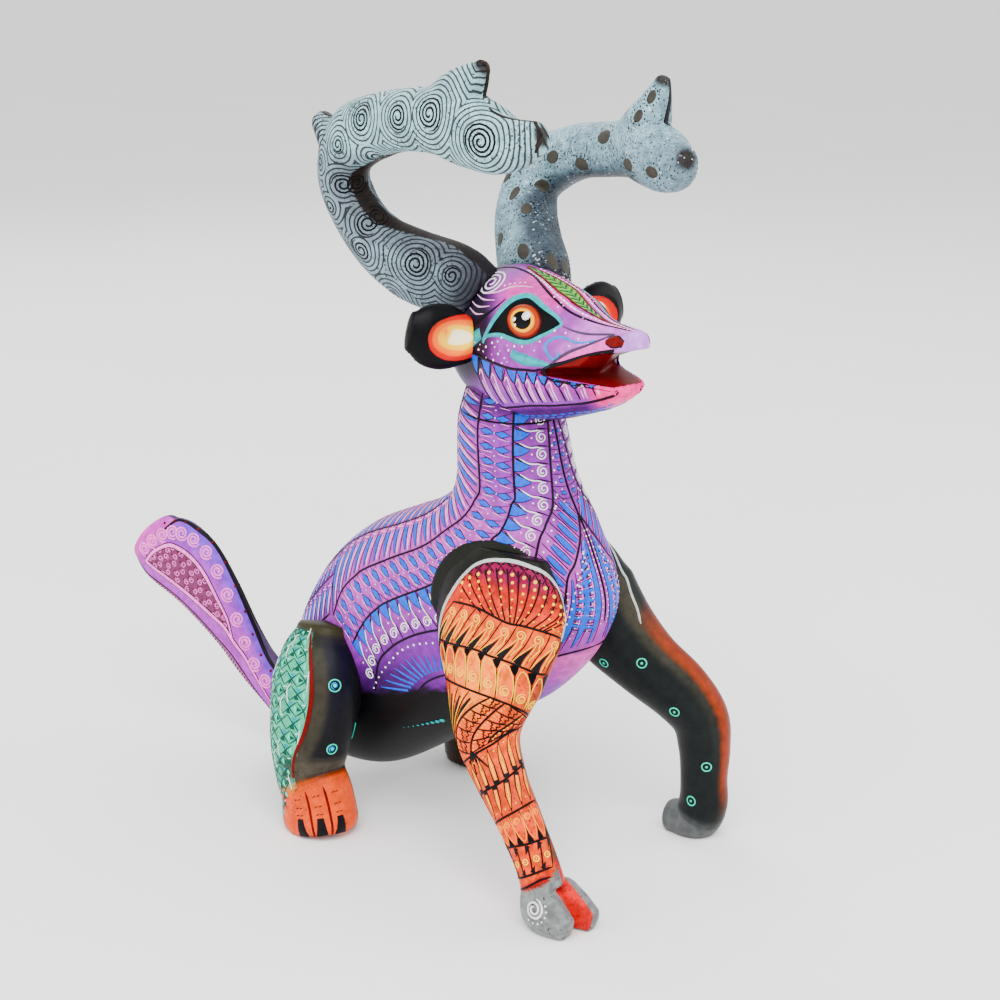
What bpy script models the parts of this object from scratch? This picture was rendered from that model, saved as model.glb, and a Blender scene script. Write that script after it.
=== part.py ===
"""A carved wooden deer spirit that sits on its hind paws, with antlers, ears and a tail that pull out.

The figure faces -Y, its left side is +X, and its soles stand on Z = 0 with the origin under the middle
of its bounding box. Lengths below are millimetres; MM turns them into Blender's metres. Every carved
piece is a skin drawn over cross-sections, trimmed to sit on its neighbour with a thin glue gap, and
pinned to it with a round wooden peg in blind holes.
"""

import math

import bmesh
import bpy
from mathutils import Matrix, Vector

MM = 0.001
GAP = 0.3  # glue line between two pieces, and the clearance round a peg
HEAD_TURN = math.radians(-12)  # the head looks a little to its right
TAIL_SWING = math.radians(14)  # the tail swings to its right too
HEAD_PIVOT = Vector((0, 20, 0))
TAIL_PIVOT = Vector((0, 104, 0))
FRONT_TOE_Y, TAIL_TIP_Y = -40, 182.3  # the ends of the bounding box as the rows below give them
SHIFT = Vector((0, -(FRONT_TOE_Y + TAIL_TIP_Y) / 2, 0))  # stands its middle on the origin

PEG_RADIUS = 2.5
NECK_DOWEL_RADIUS = 4
BLIND_END = 0.6  # free depth beyond each end of a peg

# The body, tail to neck: back y, back z, belly y, belly z, half width.
BODY = (
    (107, 46, 103, 17, 12),
    (103.5, 59.5, 97, 10, 19),
    (98, 72, 86, 8, 23.5),
    (88.5, 84, 69, 11.5, 26),
    (75, 94, 47, 24.5, 27),
    (60, 101, 26, 38.5, 26),
    (49.5, 105.5, 6, 51, 25),
    (43, 109.5, -9, 67, 24),
    (40, 112.5, -15.5, 84, 21.5),
    (38.5, 118.5, -9.5, 102, 18),
    (38.5, 127, -0.5, 118, 16),
    (38, 136, 4, 133, 15.2),
    (35, 145, 7, 145, 13.5),
)

# The head before it is turned, back to nose: y, top z, bottom z, half width.
HEAD = (
    (37.5, 172, 144, 12.5),
    (29, 179, 139.5, 16.5),
    (18, 181.5, 138, 18),
    (6, 180, 138, 18),
    (-5, 177, 140, 16.5),
    (-13, 173.5, 142.5, 13.5),
    (-21.5, 171, 145.5, 10.5),
    (-28.5, 170.3, 149, 8),
    (-33.5, 170, 152.5, 6.2),
)
MOUTH_CORNER = Vector((15.3, -9, 155.5))  # where the lips meet, on both sides
MOUTH_MIDDLE_Y = -20  # the cut is this far back on the centre line
MOUTH_FRONT_Y = -46
MOUTH_UPPER_Z, MOUTH_LOWER_Z = 170, 154  # the lips at the front of the cut
CHIN_Y = -32.5  # the lower jaw is this long

# Spine rows: x, y, z, half width along the side axis, half depth across it. The carver made the two
# antlers and the two front legs by eye, so each has rows of its own; ears and hind legs are mirrored.
RIGHT_BEAM = (
    (-9, 24, 171.5, 8, 9.5),
    (-12, 33, 176, 9, 10.5),
    (-18, 44.2, 179, 9, 10.8),
    (-24, 55.4, 185.5, 8, 9.4),
    (-29, 61.6, 196, 7.5, 7.8),
    (-31.5, 63, 206.5, 7.5, 9),
    (-31.5, 56, 216.5, 7.5, 9.8),
    (-30, 38, 222.3, 7.5, 8.8),
    (-28, 19, 224, 7.5, 9.2),
    (-26, 5, 222, 7.8, 10),
    (-23, -7, 219, 7.5, 7.8),
    (-20.3, -17, 221.5, 4.4, 4.4),
)
RIGHT_TINE = (
    (-27.5, 17, 224, 6.2, 11),
    (-26.8, 10.5, 230, 5.6, 8.8),
    (-26.3, 3.8, 235.5, 4.2, 5.2),
    (-26, -0.5, 239.3, 2, 2.2),
)
RIGHT_SPUR = (
    (-31.5, 58, 210, 5, 7),
    (-32.5, 66, 216, 4.8, 5.6),
    (-33, 72.5, 220.5, 3, 3.2),
)
LEFT_BEAM = (
    (9.5, 20, 171, 8, 9.5),
    (12.5, 27.5, 177.5, 9.5, 10.5),
    (17, 36.5, 184, 9, 10),
    (22.5, 45, 191.5, 8.5, 9.3),
    (27, 47.5, 200, 7.5, 8.4),
    (29.5, 40, 207, 7.5, 8.6),
    (30, 28, 211.2, 7.5, 8.2),
    (29.5, 14, 213, 7.5, 8),
    (28, 0, 214.5, 7.5, 8.4),
    (25.5, -12, 213.5, 7.5, 9),
    (23, -21.5, 212, 7, 7.6),
    (21, -28.8, 214, 4, 3.8),
)
LEFT_TINE = (
    (27.5, -1, 215, 6, 8),
    (27, -6, 222, 5.8, 7),
    (26.5, -10.5, 229, 4, 4.2),
    (26, -13.5, 234.5, 2, 2),
)
LEFT_SPUR = (
    (29, 43, 205, 5, 6),
    (30.5, 50, 210, 4.4, 4.6),
    (31.5, 55.5, 214.5, 2.6, 2.6),
)
EAR = (
    (-12, 19, 160.5, 3, 4),
    (-18, 19.5, 161, 4, 7),
    (-25, 20, 162.5, 4.4, 9.4),
    (-31, 21, 164, 4, 8.8),
    (-35, 22, 165, 2.8, 6),
)
LEFT_EAR_OFFSET = Vector((0, -5, 1.5))  # the left ear sits a little further forward and higher
EAR_DISH = ((-26.5, 13.8, 163.5), (8.2, 5.6, 6.6))  # centre and radii of the hollow's ellipsoid
RIGHT_FRONT_LEG = (
    (-17, 7.5, 98, 6.5, 13),
    (-18.5, 7.5, 92, 8.5, 19),
    (-20.5, 7.6, 83, 10, 23.8),
    (-23, 6.2, 73, 10.5, 22.3),
    (-26.5, 4.5, 65, 10.5, 18),
    (-30, 3.5, 56, 9.5, 13.5),
    (-32.5, 1, 47, 8.5, 10),
    (-35, -6.5, 37.5, 7.2, 7.8),
    (-36.5, -14, 29, 6.4, 7),
    (-38, -22, 18.5, 6, 6.6),
    (-38.3, -25, 12, 6.2, 6.8),
)
LEFT_FRONT_LEG = (
    (16.5, 11, 97, 6.2, 11),
    (17.5, 10.5, 91, 8.2, 15),
    (20, 9, 82, 9.6, 17.5),
    (22.5, 4.5, 73, 10.3, 16.2),
    (25.5, -1, 65, 10.5, 14),
    (29.5, -9, 56.5, 10, 11.5),
    (34, -18, 48.5, 9.2, 10.5),
    (37.5, -23.5, 40, 8.4, 9.4),
    (39, -24.5, 30, 7.6, 8.4),
    (39.5, -24.3, 20, 7, 7.6),
    (40, -24, 11, 7.4, 7.8),
    (40, -21, 4.8, 7.8, 7.4),
    (39, -14, 3.6, 6.2, 5.4),
)
TOES = (
    # Each toe of the right front hoof, heel to tip: x, y, z, half width, half height.
    ((-38.5, -22, 10, 4, 5), (-41, -26, 7, 4.8, 7.5), (-41.3, -31, 5, 4.6, 6.5), (-41, -36, 3.5, 3, 4.2)),
    ((-37, -22, 10, 4, 5), (-33.2, -26, 7, 4.6, 7.5), (-32.4, -32, 5, 4.3, 6.5), (-32, -38, 3.5, 2.8, 4.2)),
)
HIND_LEG = (
    (-26.5, 77.5, 61, 8, 9.5),
    (-28.5, 77, 55, 10.5, 13.5),
    (-31, 76, 46, 12.5, 16),
    (-33.5, 75.5, 36, 12.5, 15.2),
    (-35.5, 75.5, 26, 11.6, 13.5),
    (-36.5, 74.5, 18, 10.4, 12),
    (-37, 71, 11, 10.6, 12.4),
    (-37.4, 69.3, 4, 11, 13.2),
)
# The tail before it is swung, root to tip: front y, front z, rear y, rear z, half thickness.
TAIL = (
    (98, 33, 99, 17, 3.6),
    (110, 31, 113, 13, 4),
    (119, 31, 124, 12.5, 4.2),
    (127, 36, 131, 17.5, 4.2),
    (133.5, 45.5, 140.5, 26, 4.2),
    (141, 59.5, 150, 36, 4.2),
    (149, 71.5, 164.5, 47.5, 4),
    (158, 78, 179, 56, 3.6),
    (166, 79.5, 184, 63, 3),
)

# Pegs: start, end, radius. The start is inside the supporting piece.
RIGHT_ANTLER_PEG = (Vector((-6.5, 23.5, 168.5)), Vector((-16.5, 41.5, 178)), PEG_RADIUS)
LEFT_ANTLER_PEG = (Vector((7, 17.5, 168.5)), Vector((16.5, 35, 183)), PEG_RADIUS)
EAR_PEG = (Vector((-9, 19, 159.5)), Vector((-20, 19.8, 162)), 1.5)
TAIL_PEG = (Vector((0, 90, 20)), Vector((0, 116, 24)), PEG_RADIUS)
NECK_DOWEL = (Vector((0, 20, 132)), Vector((0, 20, 161)), NECK_DOWEL_RADIUS)
SHOULDER_DOWEL = (Vector((-9, 7, 82)), Vector((-27, 7, 82)), PEG_RADIUS)
HIP_DOWEL = (Vector((-12, 76, 45)), Vector((-37, 76, 45)), PEG_RADIUS)


def spread(rows, steps):
    """The rows with steps-1 rows between each pair, on a Catmull-Rom curve through all of them."""
    rows = [Vector(row) for row in rows]
    out = []
    for i in range(len(rows) - 1):
        before, after = rows[max(i - 1, 0)], rows[min(i + 2, len(rows) - 1)]
        for k in range(steps):
            t = k / steps
            slope_a = (rows[i + 1] - before) * 0.5
            slope_b = (after - rows[i]) * 0.5
            out.append(
                rows[i] * (2 * t**3 - 3 * t**2 + 1)
                + slope_a * (t**3 - 2 * t**2 + t)
                + rows[i + 1] * (3 * t**2 - 2 * t**3)
                + slope_b * (t**3 - t**2)
            )
    return out + [rows[-1]]


def edge_rings(rows, steps):
    """Rings from rows of two opposite edge points in the middle plane and a half width."""
    rings = []
    for back_y, back_z, belly_y, belly_z, width in spread(rows, steps):
        back, belly = Vector((0, back_y, back_z)), Vector((0, belly_y, belly_z))
        rings.append(((back + belly) / 2, Vector((width, 0, 0)), (back - belly) / 2))
    return rings


def spine_rings(rows, steps, side):
    """Rings square to a spine, from rows of centre, half width along the side axis and half depth."""
    rows = spread(rows, steps)
    rings = []
    for i, row in enumerate(rows):
        centre = Vector(row[:3])
        along = Vector(rows[min(i + 1, len(rows) - 1)][:3]) - Vector(rows[max(i - 1, 0)][:3])
        across = along.cross(side).normalized()
        rings.append((centre, across.cross(along).normalized() * row[3], across * row[4]))
    return rings


def grown(rings, more):
    """The rings with every half size made larger."""
    return [(c, s * (1 + more / s.length), u * (1 + more / u.length)) for c, s, u in rings]


def domed(rings, reach, turns=3):
    """The rings with shrinking ones added past both ends, so that the skin closes in a dome."""
    ends = []
    for (centre, side, up), inner, length in (
        (rings[0], rings[1], reach[0]),
        (rings[-1], rings[-2], reach[1]),
    ):
        out = (centre - inner[0]).normalized() * length
        angles = [math.pi / 2 * k / turns for k in range(1, turns)]
        shrunk = [(centre + out * math.sin(a), side * math.cos(a), up * math.cos(a)) for a in angles]
        ends.append((shrunk, centre + out))
    first, last = ends
    return first[0][::-1] + rings + last[0], first[1], last[1]


def skin(name, rings, reach, sides, floor=None):
    """A closed mesh over the rings, with a domed end past each of the two end rings.

    reach is how far each dome stands out. With floor set, nothing goes below that height.
    """
    rings, start, end = domed(rings, reach)
    mesh = bmesh.new()
    loops = []
    for centre, side, up in rings:
        turn = [2 * math.pi * k / sides for k in range(sides)]
        loops.append([mesh.verts.new(centre + side * math.cos(a) + up * math.sin(a)) for a in turn])
    for low, high in zip(loops, loops[1:]):
        for k in range(sides):
            after = (k + 1) % sides
            mesh.faces.new((low[k], low[after], high[after], high[k]))
    for loop, tip in ((loops[0], start), (loops[-1], end)):
        point = mesh.verts.new(tip)
        for k in range(sides):
            mesh.faces.new((loop[k], loop[(k + 1) % sides], point))
    if floor is not None:
        for vert in mesh.verts:
            vert.co.z = max(vert.co.z, floor)
    return finished(name, mesh)


def finished(name, mesh):
    """An object in metres made from a bmesh in millimetres, its faces turned outwards."""
    mesh.normal_update()
    bmesh.ops.recalc_face_normals(mesh, faces=mesh.faces)
    mesh.transform(Matrix.Diagonal((MM, MM, MM, 1)))
    data = bpy.data.meshes.new(name)
    mesh.to_mesh(data)
    mesh.free()
    data.shade_smooth()
    return bpy.data.objects.new(name, data)


def rod(name, peg, more=0.0, longer=0.0, sides=16):
    """A round peg between two points, or with more and longer set, the hole for it."""
    start, end, radius = peg
    along = end - start
    mesh = bmesh.new()
    bmesh.ops.create_cone(
        mesh,
        cap_ends=True,
        segments=sides,
        radius1=radius + more,
        radius2=radius + more,
        depth=along.length + 2 * longer,
    )
    turn = along.to_track_quat("Z", "Y").to_matrix().to_4x4()
    mesh.transform(Matrix.Translation((start + end) / 2) @ turn)
    return finished(name, mesh)


def hole(name, peg):
    return rod(name, peg, more=GAP, longer=BLIND_END)


def mirrored(peg, offset=Vector()):
    """The same peg on the other side of the figure, moved by an offset."""
    return tuple(Vector((-p.x, p.y, p.z)) + offset for p in peg[:2]) + (peg[2],)


def other_side(rows, offset=Vector()):
    """The same spine rows on the other side of the figure, moved by an offset."""
    return tuple((offset.x - x, offset.y + y, offset.z + z, *half) for x, y, z, *half in rows)


HEAD_PEGS = {
    "right_antler": RIGHT_ANTLER_PEG,
    "left_antler": LEFT_ANTLER_PEG,
    "right_ear": EAR_PEG,
    "left_ear": mirrored(EAR_PEG, LEFT_EAR_OFFSET),
}


class Workshop:
    """Holds the two collections and the empties, and puts pieces and cutters in their places."""

    def __init__(self):
        self.parts = self.collection("deer_spirit_figure")
        self.cutters = self.collection("cutters")
        self.base = self.empty("base", Vector())
        self.head_turn = self.empty("head_turn", HEAD_PIVOT, HEAD_TURN)
        self.tail_swing = self.empty("tail_swing", TAIL_PIVOT, TAIL_SWING)

    @staticmethod
    def collection(name):
        made = bpy.data.collections.new(name)
        bpy.context.scene.collection.children.link(made)
        return made

    def empty(self, name, pivot, turn=0.0):
        """An empty that turns its children about an upright axis through the pivot."""
        made = bpy.data.objects.new(name, None)
        turned = Matrix.Rotation(turn, 4, "Z")
        about = Matrix.Translation(pivot * MM) @ turned @ Matrix.Translation(-pivot * MM)
        made.matrix_world = Matrix.Translation(SHIFT * MM) @ about
        self.parts.objects.link(made)
        return made

    def cutter(self, obj, parent=None):
        obj.parent = parent or self.base
        obj.hide_render = True
        obj.display_type = "WIRE"
        self.cutters.objects.link(obj)
        return obj

    def piece(self, obj, finish, parent=None, add=(), cut=()):
        """A part in its finish, joined with the add objects and cut by the cut objects."""
        obj.parent = parent or self.base
        self.parts.objects.link(obj)
        obj.data.materials.append(finish)
        for operation, others in (("UNION", add), ("DIFFERENCE", cut)):
            for other in others:
                boolean = obj.modifiers.new(f"{operation.lower()}_{other.name}", "BOOLEAN")
                boolean.operation = operation
                boolean.object = other
                boolean.solver = "EXACT"
        return obj


def finish(name, colour, roughness=0.45):
    """A painted or bare wood finish."""
    made = bpy.data.materials.new(name)
    made.use_nodes = True
    shader = made.node_tree.nodes["Principled BSDF"]
    shader.inputs["Base Color"].default_value = (*colour, 1)
    shader.inputs["Roughness"].default_value = roughness
    shader.inputs["Metallic"].default_value = 0
    return made


def place_origin(obj, point):
    """Moves an object's origin to a point of its own frame, in millimetres, leaving its shape in place."""
    shift = point * MM
    obj.data.transform(Matrix.Translation(-shift))
    obj.location = shift


def head_rings():
    """Rings of the head; its sections are upright, so each is widest at mid height."""
    rings = []
    for y, top, bottom, width in spread(HEAD, 3):
        centre = Vector((0, y, (top + bottom) / 2))
        rings.append((centre, Vector((width, 0, 0)), Vector((0, 0, (top - bottom) / 2))))
    return rings


def mouth_cutter():
    """A wedge that opens forwards; its rear edge runs from each corner to a point further forward."""
    half = 24  # wider than the muzzle on both sides
    slope = (MOUTH_CORNER.y - MOUTH_MIDDLE_Y) / MOUTH_CORNER.x
    side_y = MOUTH_MIDDLE_Y + slope * half
    mesh = bmesh.new()
    columns = []
    for x, rear in ((-half, side_y), (0, MOUTH_MIDDLE_Y), (half, side_y)):
        points = ((rear, MOUTH_CORNER.z), (MOUTH_FRONT_Y, MOUTH_LOWER_Z), (MOUTH_FRONT_Y, MOUTH_UPPER_Z))
        columns.append([mesh.verts.new((x, y, z)) for y, z in points])
    for a, b in zip(columns, columns[1:]):
        for k in range(3):
            after = (k + 1) % 3
            mesh.faces.new((a[k], a[after], b[after], b[k]))
    mesh.faces.new(columns[0])
    mesh.faces.new(columns[2])
    return finished("mouth_cutter", mesh)


def chin_cutter():
    """A block that makes the lower jaw shorter than the upper one."""
    mesh = bmesh.new()
    bmesh.ops.create_cube(mesh, size=20)
    mesh.transform(Matrix.Translation((0, CHIN_Y - 10, MOUTH_LOWER_Z - 6)))
    return finished("chin_cutter", mesh)


def ear_dish(name, centre, radii):
    """The ellipsoid that hollows the front of an ear."""
    mesh = bmesh.new()
    bmesh.ops.create_uvsphere(mesh, u_segments=14, v_segments=9, radius=1)
    mesh.transform(Matrix.Diagonal((*radii, 1)))
    mesh.transform(Matrix.Translation(centre))
    return finished(name, mesh)


def make_body(shop, paint):
    """The body with its neck. Returns the cutter that seats its neighbours on it, and the peg holes."""
    rings = edge_rings(BODY, 3)
    pegs = {
        "neck_hole": NECK_DOWEL,
        "right_shoulder_hole": SHOULDER_DOWEL,
        "left_shoulder_hole": mirrored(SHOULDER_DOWEL),
        "right_hip_hole": HIP_DOWEL,
        "left_hip_hole": mirrored(HIP_DOWEL),
    }
    holes = {name: shop.cutter(hole(name, peg)) for name, peg in pegs.items()}
    holes["tail_hole"] = shop.cutter(hole("tail_hole", TAIL_PEG), shop.tail_swing)
    body = skin("torso", rings, (4, 3), 24)
    seat = shop.cutter(skin("body_seat", grown(rings, GAP), (4 + GAP, 3 + GAP), 24))
    shop.piece(body, paint, cut=holes.values())
    return seat, holes


def make_head(shop, paint, seat, holes):
    """The head, cut for the mouth, the neck and the pegs. Returns the cutter that seats others on it."""
    rings = head_rings()
    turn = shop.head_turn
    cutters = [shop.cutter(mouth_cutter(), turn), shop.cutter(chin_cutter(), turn), seat, holes["neck_hole"]]
    for name, peg in HEAD_PEGS.items():
        holes[name] = shop.cutter(hole(f"{name}_hole", peg), turn)
        cutters.append(holes[name])
    shop.piece(skin("head", rings, (5, 3), 24), paint, turn, cut=cutters)
    return shop.cutter(skin("head_seat", grown(rings, GAP), (5 + GAP, 3 + GAP), 24), turn)


def make_antler(shop, side, rows, paint, wood, head_seat, holes):
    """An antler of one beam, a tine and a back spur, with the peg that plugs into the head."""
    turn = shop.head_turn
    across = Vector((1, 0.35, 0)) if side == "left" else Vector((1, -0.35, 0))
    beam, tine, spur = (spine_rings(part, 2, across) for part in rows)
    tine = shop.cutter(skin(f"{side}_tine", tine, (3, 1.6), 12), turn)
    spur = shop.cutter(skin(f"{side}_spur", spur, (2, 1.8), 12), turn)
    name = f"{side}_antler"
    antler = skin(name, beam, (2, 2.6), 14)
    shop.piece(antler, paint, turn, add=(tine, spur), cut=(head_seat, holes[name]))
    make_head_peg(shop, name, wood, antler)


def make_head_peg(shop, name, wood, plugged):
    """The peg of an antler or an ear. Both get their origin on the peg's axis, along which they pull out."""
    pin = shop.piece(rod(f"{name}_peg", HEAD_PEGS[name]), wood, shop.head_turn)
    place_origin(pin, HEAD_PEGS[name][0])
    place_origin(plugged, HEAD_PEGS[name][0])


def make_ear(shop, side, paint, wood, head_seat, holes):
    """A dished ear with its peg."""
    turn = shop.head_turn
    centre, radii = EAR_DISH
    rows = EAR
    if side == "left":
        rows = other_side(EAR, LEFT_EAR_OFFSET)
        centre = Vector((-centre[0], centre[1], centre[2])) + LEFT_EAR_OFFSET
    name = f"{side}_ear"
    dish = shop.cutter(ear_dish(f"{name}_dish", centre, radii), turn)
    ear = skin(name, spine_rings(rows, 3, Vector((0, 1, 0))), (1.5, 2.6), 16)
    shop.piece(ear, paint, turn, cut=(dish, head_seat, holes[name]))
    make_head_peg(shop, name, wood, ear)


def make_tail(shop, paint, wood, seat, holes):
    """The paddle-shaped tail with its peg."""
    tail = skin("tail", edge_rings(TAIL, 3), (2, 4.5), 16)
    shop.piece(tail, paint, shop.tail_swing, cut=(seat, holes["tail_hole"]))
    pin = shop.piece(rod("tail_peg", TAIL_PEG), wood, shop.tail_swing)
    place_origin(pin, TAIL_PEG[0])
    place_origin(tail, TAIL_PEG[0])


def make_legs(shop, paints, wood, seat, holes):
    """The four legs, each seated on the body's side, with their dowels."""
    side_axis = Vector((1, 0, 0))
    toes = []
    for number, rows in enumerate(TOES, 1):
        toe = skin(f"hoof_toe_{number}", spine_rings(rows, 2, side_axis), (2, 1.8), 12, floor=0)
        toes.append(shop.cutter(toe))
    plans = (
        ("right_front_leg", RIGHT_FRONT_LEG, (5, 2), toes, "right_shoulder_hole", SHOULDER_DOWEL),
        ("left_front_leg", LEFT_FRONT_LEG, (5, 4), (), "left_shoulder_hole", mirrored(SHOULDER_DOWEL)),
        ("right_hind_leg", HIND_LEG, (6, 9), (), "right_hip_hole", HIP_DOWEL),
        ("left_hind_leg", other_side(HIND_LEG), (6, 9), (), "left_hip_hole", mirrored(HIP_DOWEL)),
    )
    for name, rows, reach, add, hole_name, dowel in plans:
        leg = skin(name, spine_rings(rows, 2, side_axis), reach, 18, floor=0)
        shop.piece(leg, paints[name], add=add, cut=(seat, holes[hole_name]))
        shop.piece(rod(f"{name}_dowel", dowel), wood)


def main():
    for obj in list(bpy.data.objects):
        bpy.data.objects.remove(obj, do_unlink=True)
    shop = Workshop()
    wood = finish("bare_copal_wood", (0.72, 0.55, 0.36), 0.7)
    lilac = finish("lilac_paint", (0.36, 0.13, 0.42))
    purple = finish("purple_paint", (0.45, 0.17, 0.48))
    grey = finish("grey_mint_paint", (0.36, 0.45, 0.47))
    flame = finish("flame_paint", (0.9, 0.25, 0.04))
    rose = finish("rose_lilac_paint", (0.5, 0.22, 0.45))
    paints = {
        "right_front_leg": finish("orange_paint", (0.72, 0.2, 0.06)),
        "left_front_leg": finish("copper_black_paint", (0.05, 0.045, 0.05)),
        "right_hind_leg": finish("teal_paint", (0.1, 0.4, 0.34)),
        "left_hind_leg": finish("smoke_black_paint", (0.04, 0.04, 0.045)),
    }
    seat, holes = make_body(shop, purple)
    shop.piece(rod("neck_dowel", NECK_DOWEL), wood)
    head_seat = make_head(shop, lilac, seat, holes)
    antlers = {
        "right": (RIGHT_BEAM, RIGHT_TINE, RIGHT_SPUR),
        "left": (LEFT_BEAM, LEFT_TINE, LEFT_SPUR),
    }
    for side, rows in antlers.items():
        make_antler(shop, side, rows, grey, wood, head_seat, holes)
        make_ear(shop, side, flame, wood, head_seat, holes)
    make_tail(shop, rose, wood, seat, holes)
    make_legs(shop, paints, wood, seat, holes)


if __name__ == "__main__":
    main()
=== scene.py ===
"""The looks of a carved and painted wooden deer spirit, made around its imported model.

Lengths are millimetres unless a name says otherwise, and MM turns them into metres. Every carved piece
is a loft over cross-sections, so a place on it has two chart coordinates: t, the position along its
rows, and a, the angle round its section in degrees. A brush lays raised strokes and dots of paint on
the piece along paths in that chart.
"""

import logging
import math
from collections.abc import Callable, Iterable, Sequence
from dataclasses import dataclass
from enum import Enum

import bpy
import numpy as np
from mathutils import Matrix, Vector
from mathutils.kdtree import KDTree


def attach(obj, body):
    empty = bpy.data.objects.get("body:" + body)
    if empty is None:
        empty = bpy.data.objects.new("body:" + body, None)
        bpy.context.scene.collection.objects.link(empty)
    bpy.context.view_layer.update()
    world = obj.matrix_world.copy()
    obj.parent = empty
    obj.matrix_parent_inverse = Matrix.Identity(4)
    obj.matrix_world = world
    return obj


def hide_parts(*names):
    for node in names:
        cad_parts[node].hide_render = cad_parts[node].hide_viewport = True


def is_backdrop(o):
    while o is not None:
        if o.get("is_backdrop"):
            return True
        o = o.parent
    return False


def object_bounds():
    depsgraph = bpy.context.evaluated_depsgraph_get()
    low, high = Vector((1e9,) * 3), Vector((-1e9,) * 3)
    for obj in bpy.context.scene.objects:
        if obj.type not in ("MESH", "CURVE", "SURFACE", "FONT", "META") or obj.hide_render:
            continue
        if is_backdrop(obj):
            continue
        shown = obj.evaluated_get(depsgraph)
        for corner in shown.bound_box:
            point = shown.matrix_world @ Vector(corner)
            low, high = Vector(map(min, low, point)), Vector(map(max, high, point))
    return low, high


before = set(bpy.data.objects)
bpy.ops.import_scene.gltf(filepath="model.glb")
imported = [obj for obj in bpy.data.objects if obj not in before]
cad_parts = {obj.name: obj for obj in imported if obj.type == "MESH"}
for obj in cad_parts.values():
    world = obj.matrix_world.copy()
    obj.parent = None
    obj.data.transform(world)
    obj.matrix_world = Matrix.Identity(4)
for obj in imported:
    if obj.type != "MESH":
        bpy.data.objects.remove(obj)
CAD_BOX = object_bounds()

log = logging.getLogger("deer_spirit")
MM = 0.001
SHIFT_Y = -71.15  # the lofts' own frame is this much further back than the object's frame
GAP = 0.3  # glue line between two pieces
Colour = tuple[float, float, float]
Path = Sequence[tuple[float, float]]


class Ink(Enum):
    """Paints on the palette, in linear colour."""

    BLACK = (0.006, 0.005, 0.007)
    SOFT_BLACK = (0.014, 0.012, 0.016)
    GREY = (0.1, 0.08, 0.12)
    WHITE = (0.82, 0.8, 0.8)
    BLUSH = (0.78, 0.5, 0.68)
    PINK = (0.8, 0.28, 0.62)
    BLUE = (0.004, 0.15, 0.56)
    SKY = (0.05, 0.28, 0.58)
    TURQUOISE = (0.0, 0.38, 0.4)
    LAGOON = (0.01, 0.3, 0.36)
    MINT = (0.12, 0.66, 0.5)
    PALE = (0.5, 0.54, 0.52)
    YELLOW = (0.98, 0.62, 0.12)
    APRICOT = (0.86, 0.34, 0.03)
    OXBLOOD = (0.15, 0.008, 0.008)
    FOREST = (0.02, 0.1, 0.075)
    LEAF = (0.42, 0.62, 0.36)
    SPOT = (0.085, 0.08, 0.07)
    UMBER = (0.03, 0.022, 0.018)
    SOOT = (0.02, 0.021, 0.017)


def deepened(colours: np.ndarray) -> np.ndarray:
    """Richer and darker colours, as satin varnish makes them.

    Args:
        colours: Linear colours.

    Returns:
        The changed colours.
    """
    grey = colours @ np.array((0.25, 0.6, 0.15))
    rich = grey[..., None] + (colours - grey[..., None]) * 1.3
    return np.clip(rich, 0.0005, 1) ** 1.3


def smooth(x: np.ndarray, low: float, high: float) -> np.ndarray:
    """Rises smoothly from 0 at low to 1 at high.

    Args:
        x: Values of any shape.
        low: Where the rise starts.
        high: Where it ends; it may be below low for a fall.

    Returns:
        An array of x's shape.
    """
    k = np.clip((x - low) / (high - low), 0, 1)
    return k * k * (3 - 2 * k)


def mix(base: np.ndarray, over: Colour | np.ndarray, amount: np.ndarray) -> np.ndarray:
    """Lays one colour over another.

    Args:
        base: Colours, one row for each point.
        over: One colour, or one for each point.
        amount: How much of it, from 0 to 1, for each point.

    Returns:
        The mixed colours.
    """
    return base + (np.asarray(over) - base) * amount[:, None]


def plain(colour: Colour, like: np.ndarray) -> np.ndarray:
    """The same colour for each place of an array."""
    return np.tile(np.array(colour), (len(like), 1))


def read_rows(rows: Sequence[Sequence[float]], t: np.ndarray) -> np.ndarray:
    """Reads rows at fractional positions, on a Catmull-Rom curve through all of them.

    Args:
        rows: The rows, equally long.
        t: Positions from 0 to len(rows) - 1.

    Returns:
        One row for each position.
    """
    table = np.asarray(rows, float)
    last = len(table) - 1
    t = np.clip(np.asarray(t, float), 0, last)
    i = np.minimum(t.astype(int), last - 1)
    f = (t - i)[..., None]
    a, b = table[i], table[i + 1]
    slope_a = (b - table[np.maximum(i - 1, 0)]) / 2
    slope_b = (table[np.minimum(i + 2, last)] - a) / 2
    return (
        a * (2 * f**3 - 3 * f**2 + 1)
        + slope_a * (f**3 - 2 * f**2 + f)
        + b * (3 * f**2 - 2 * f**3)
        + slope_b * (f**3 - f**2)
    )


def unit(vectors: np.ndarray) -> np.ndarray:
    """The vectors at length 1."""
    return vectors / np.maximum(np.linalg.norm(vectors, axis=-1, keepdims=True), 1e-9)


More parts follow.
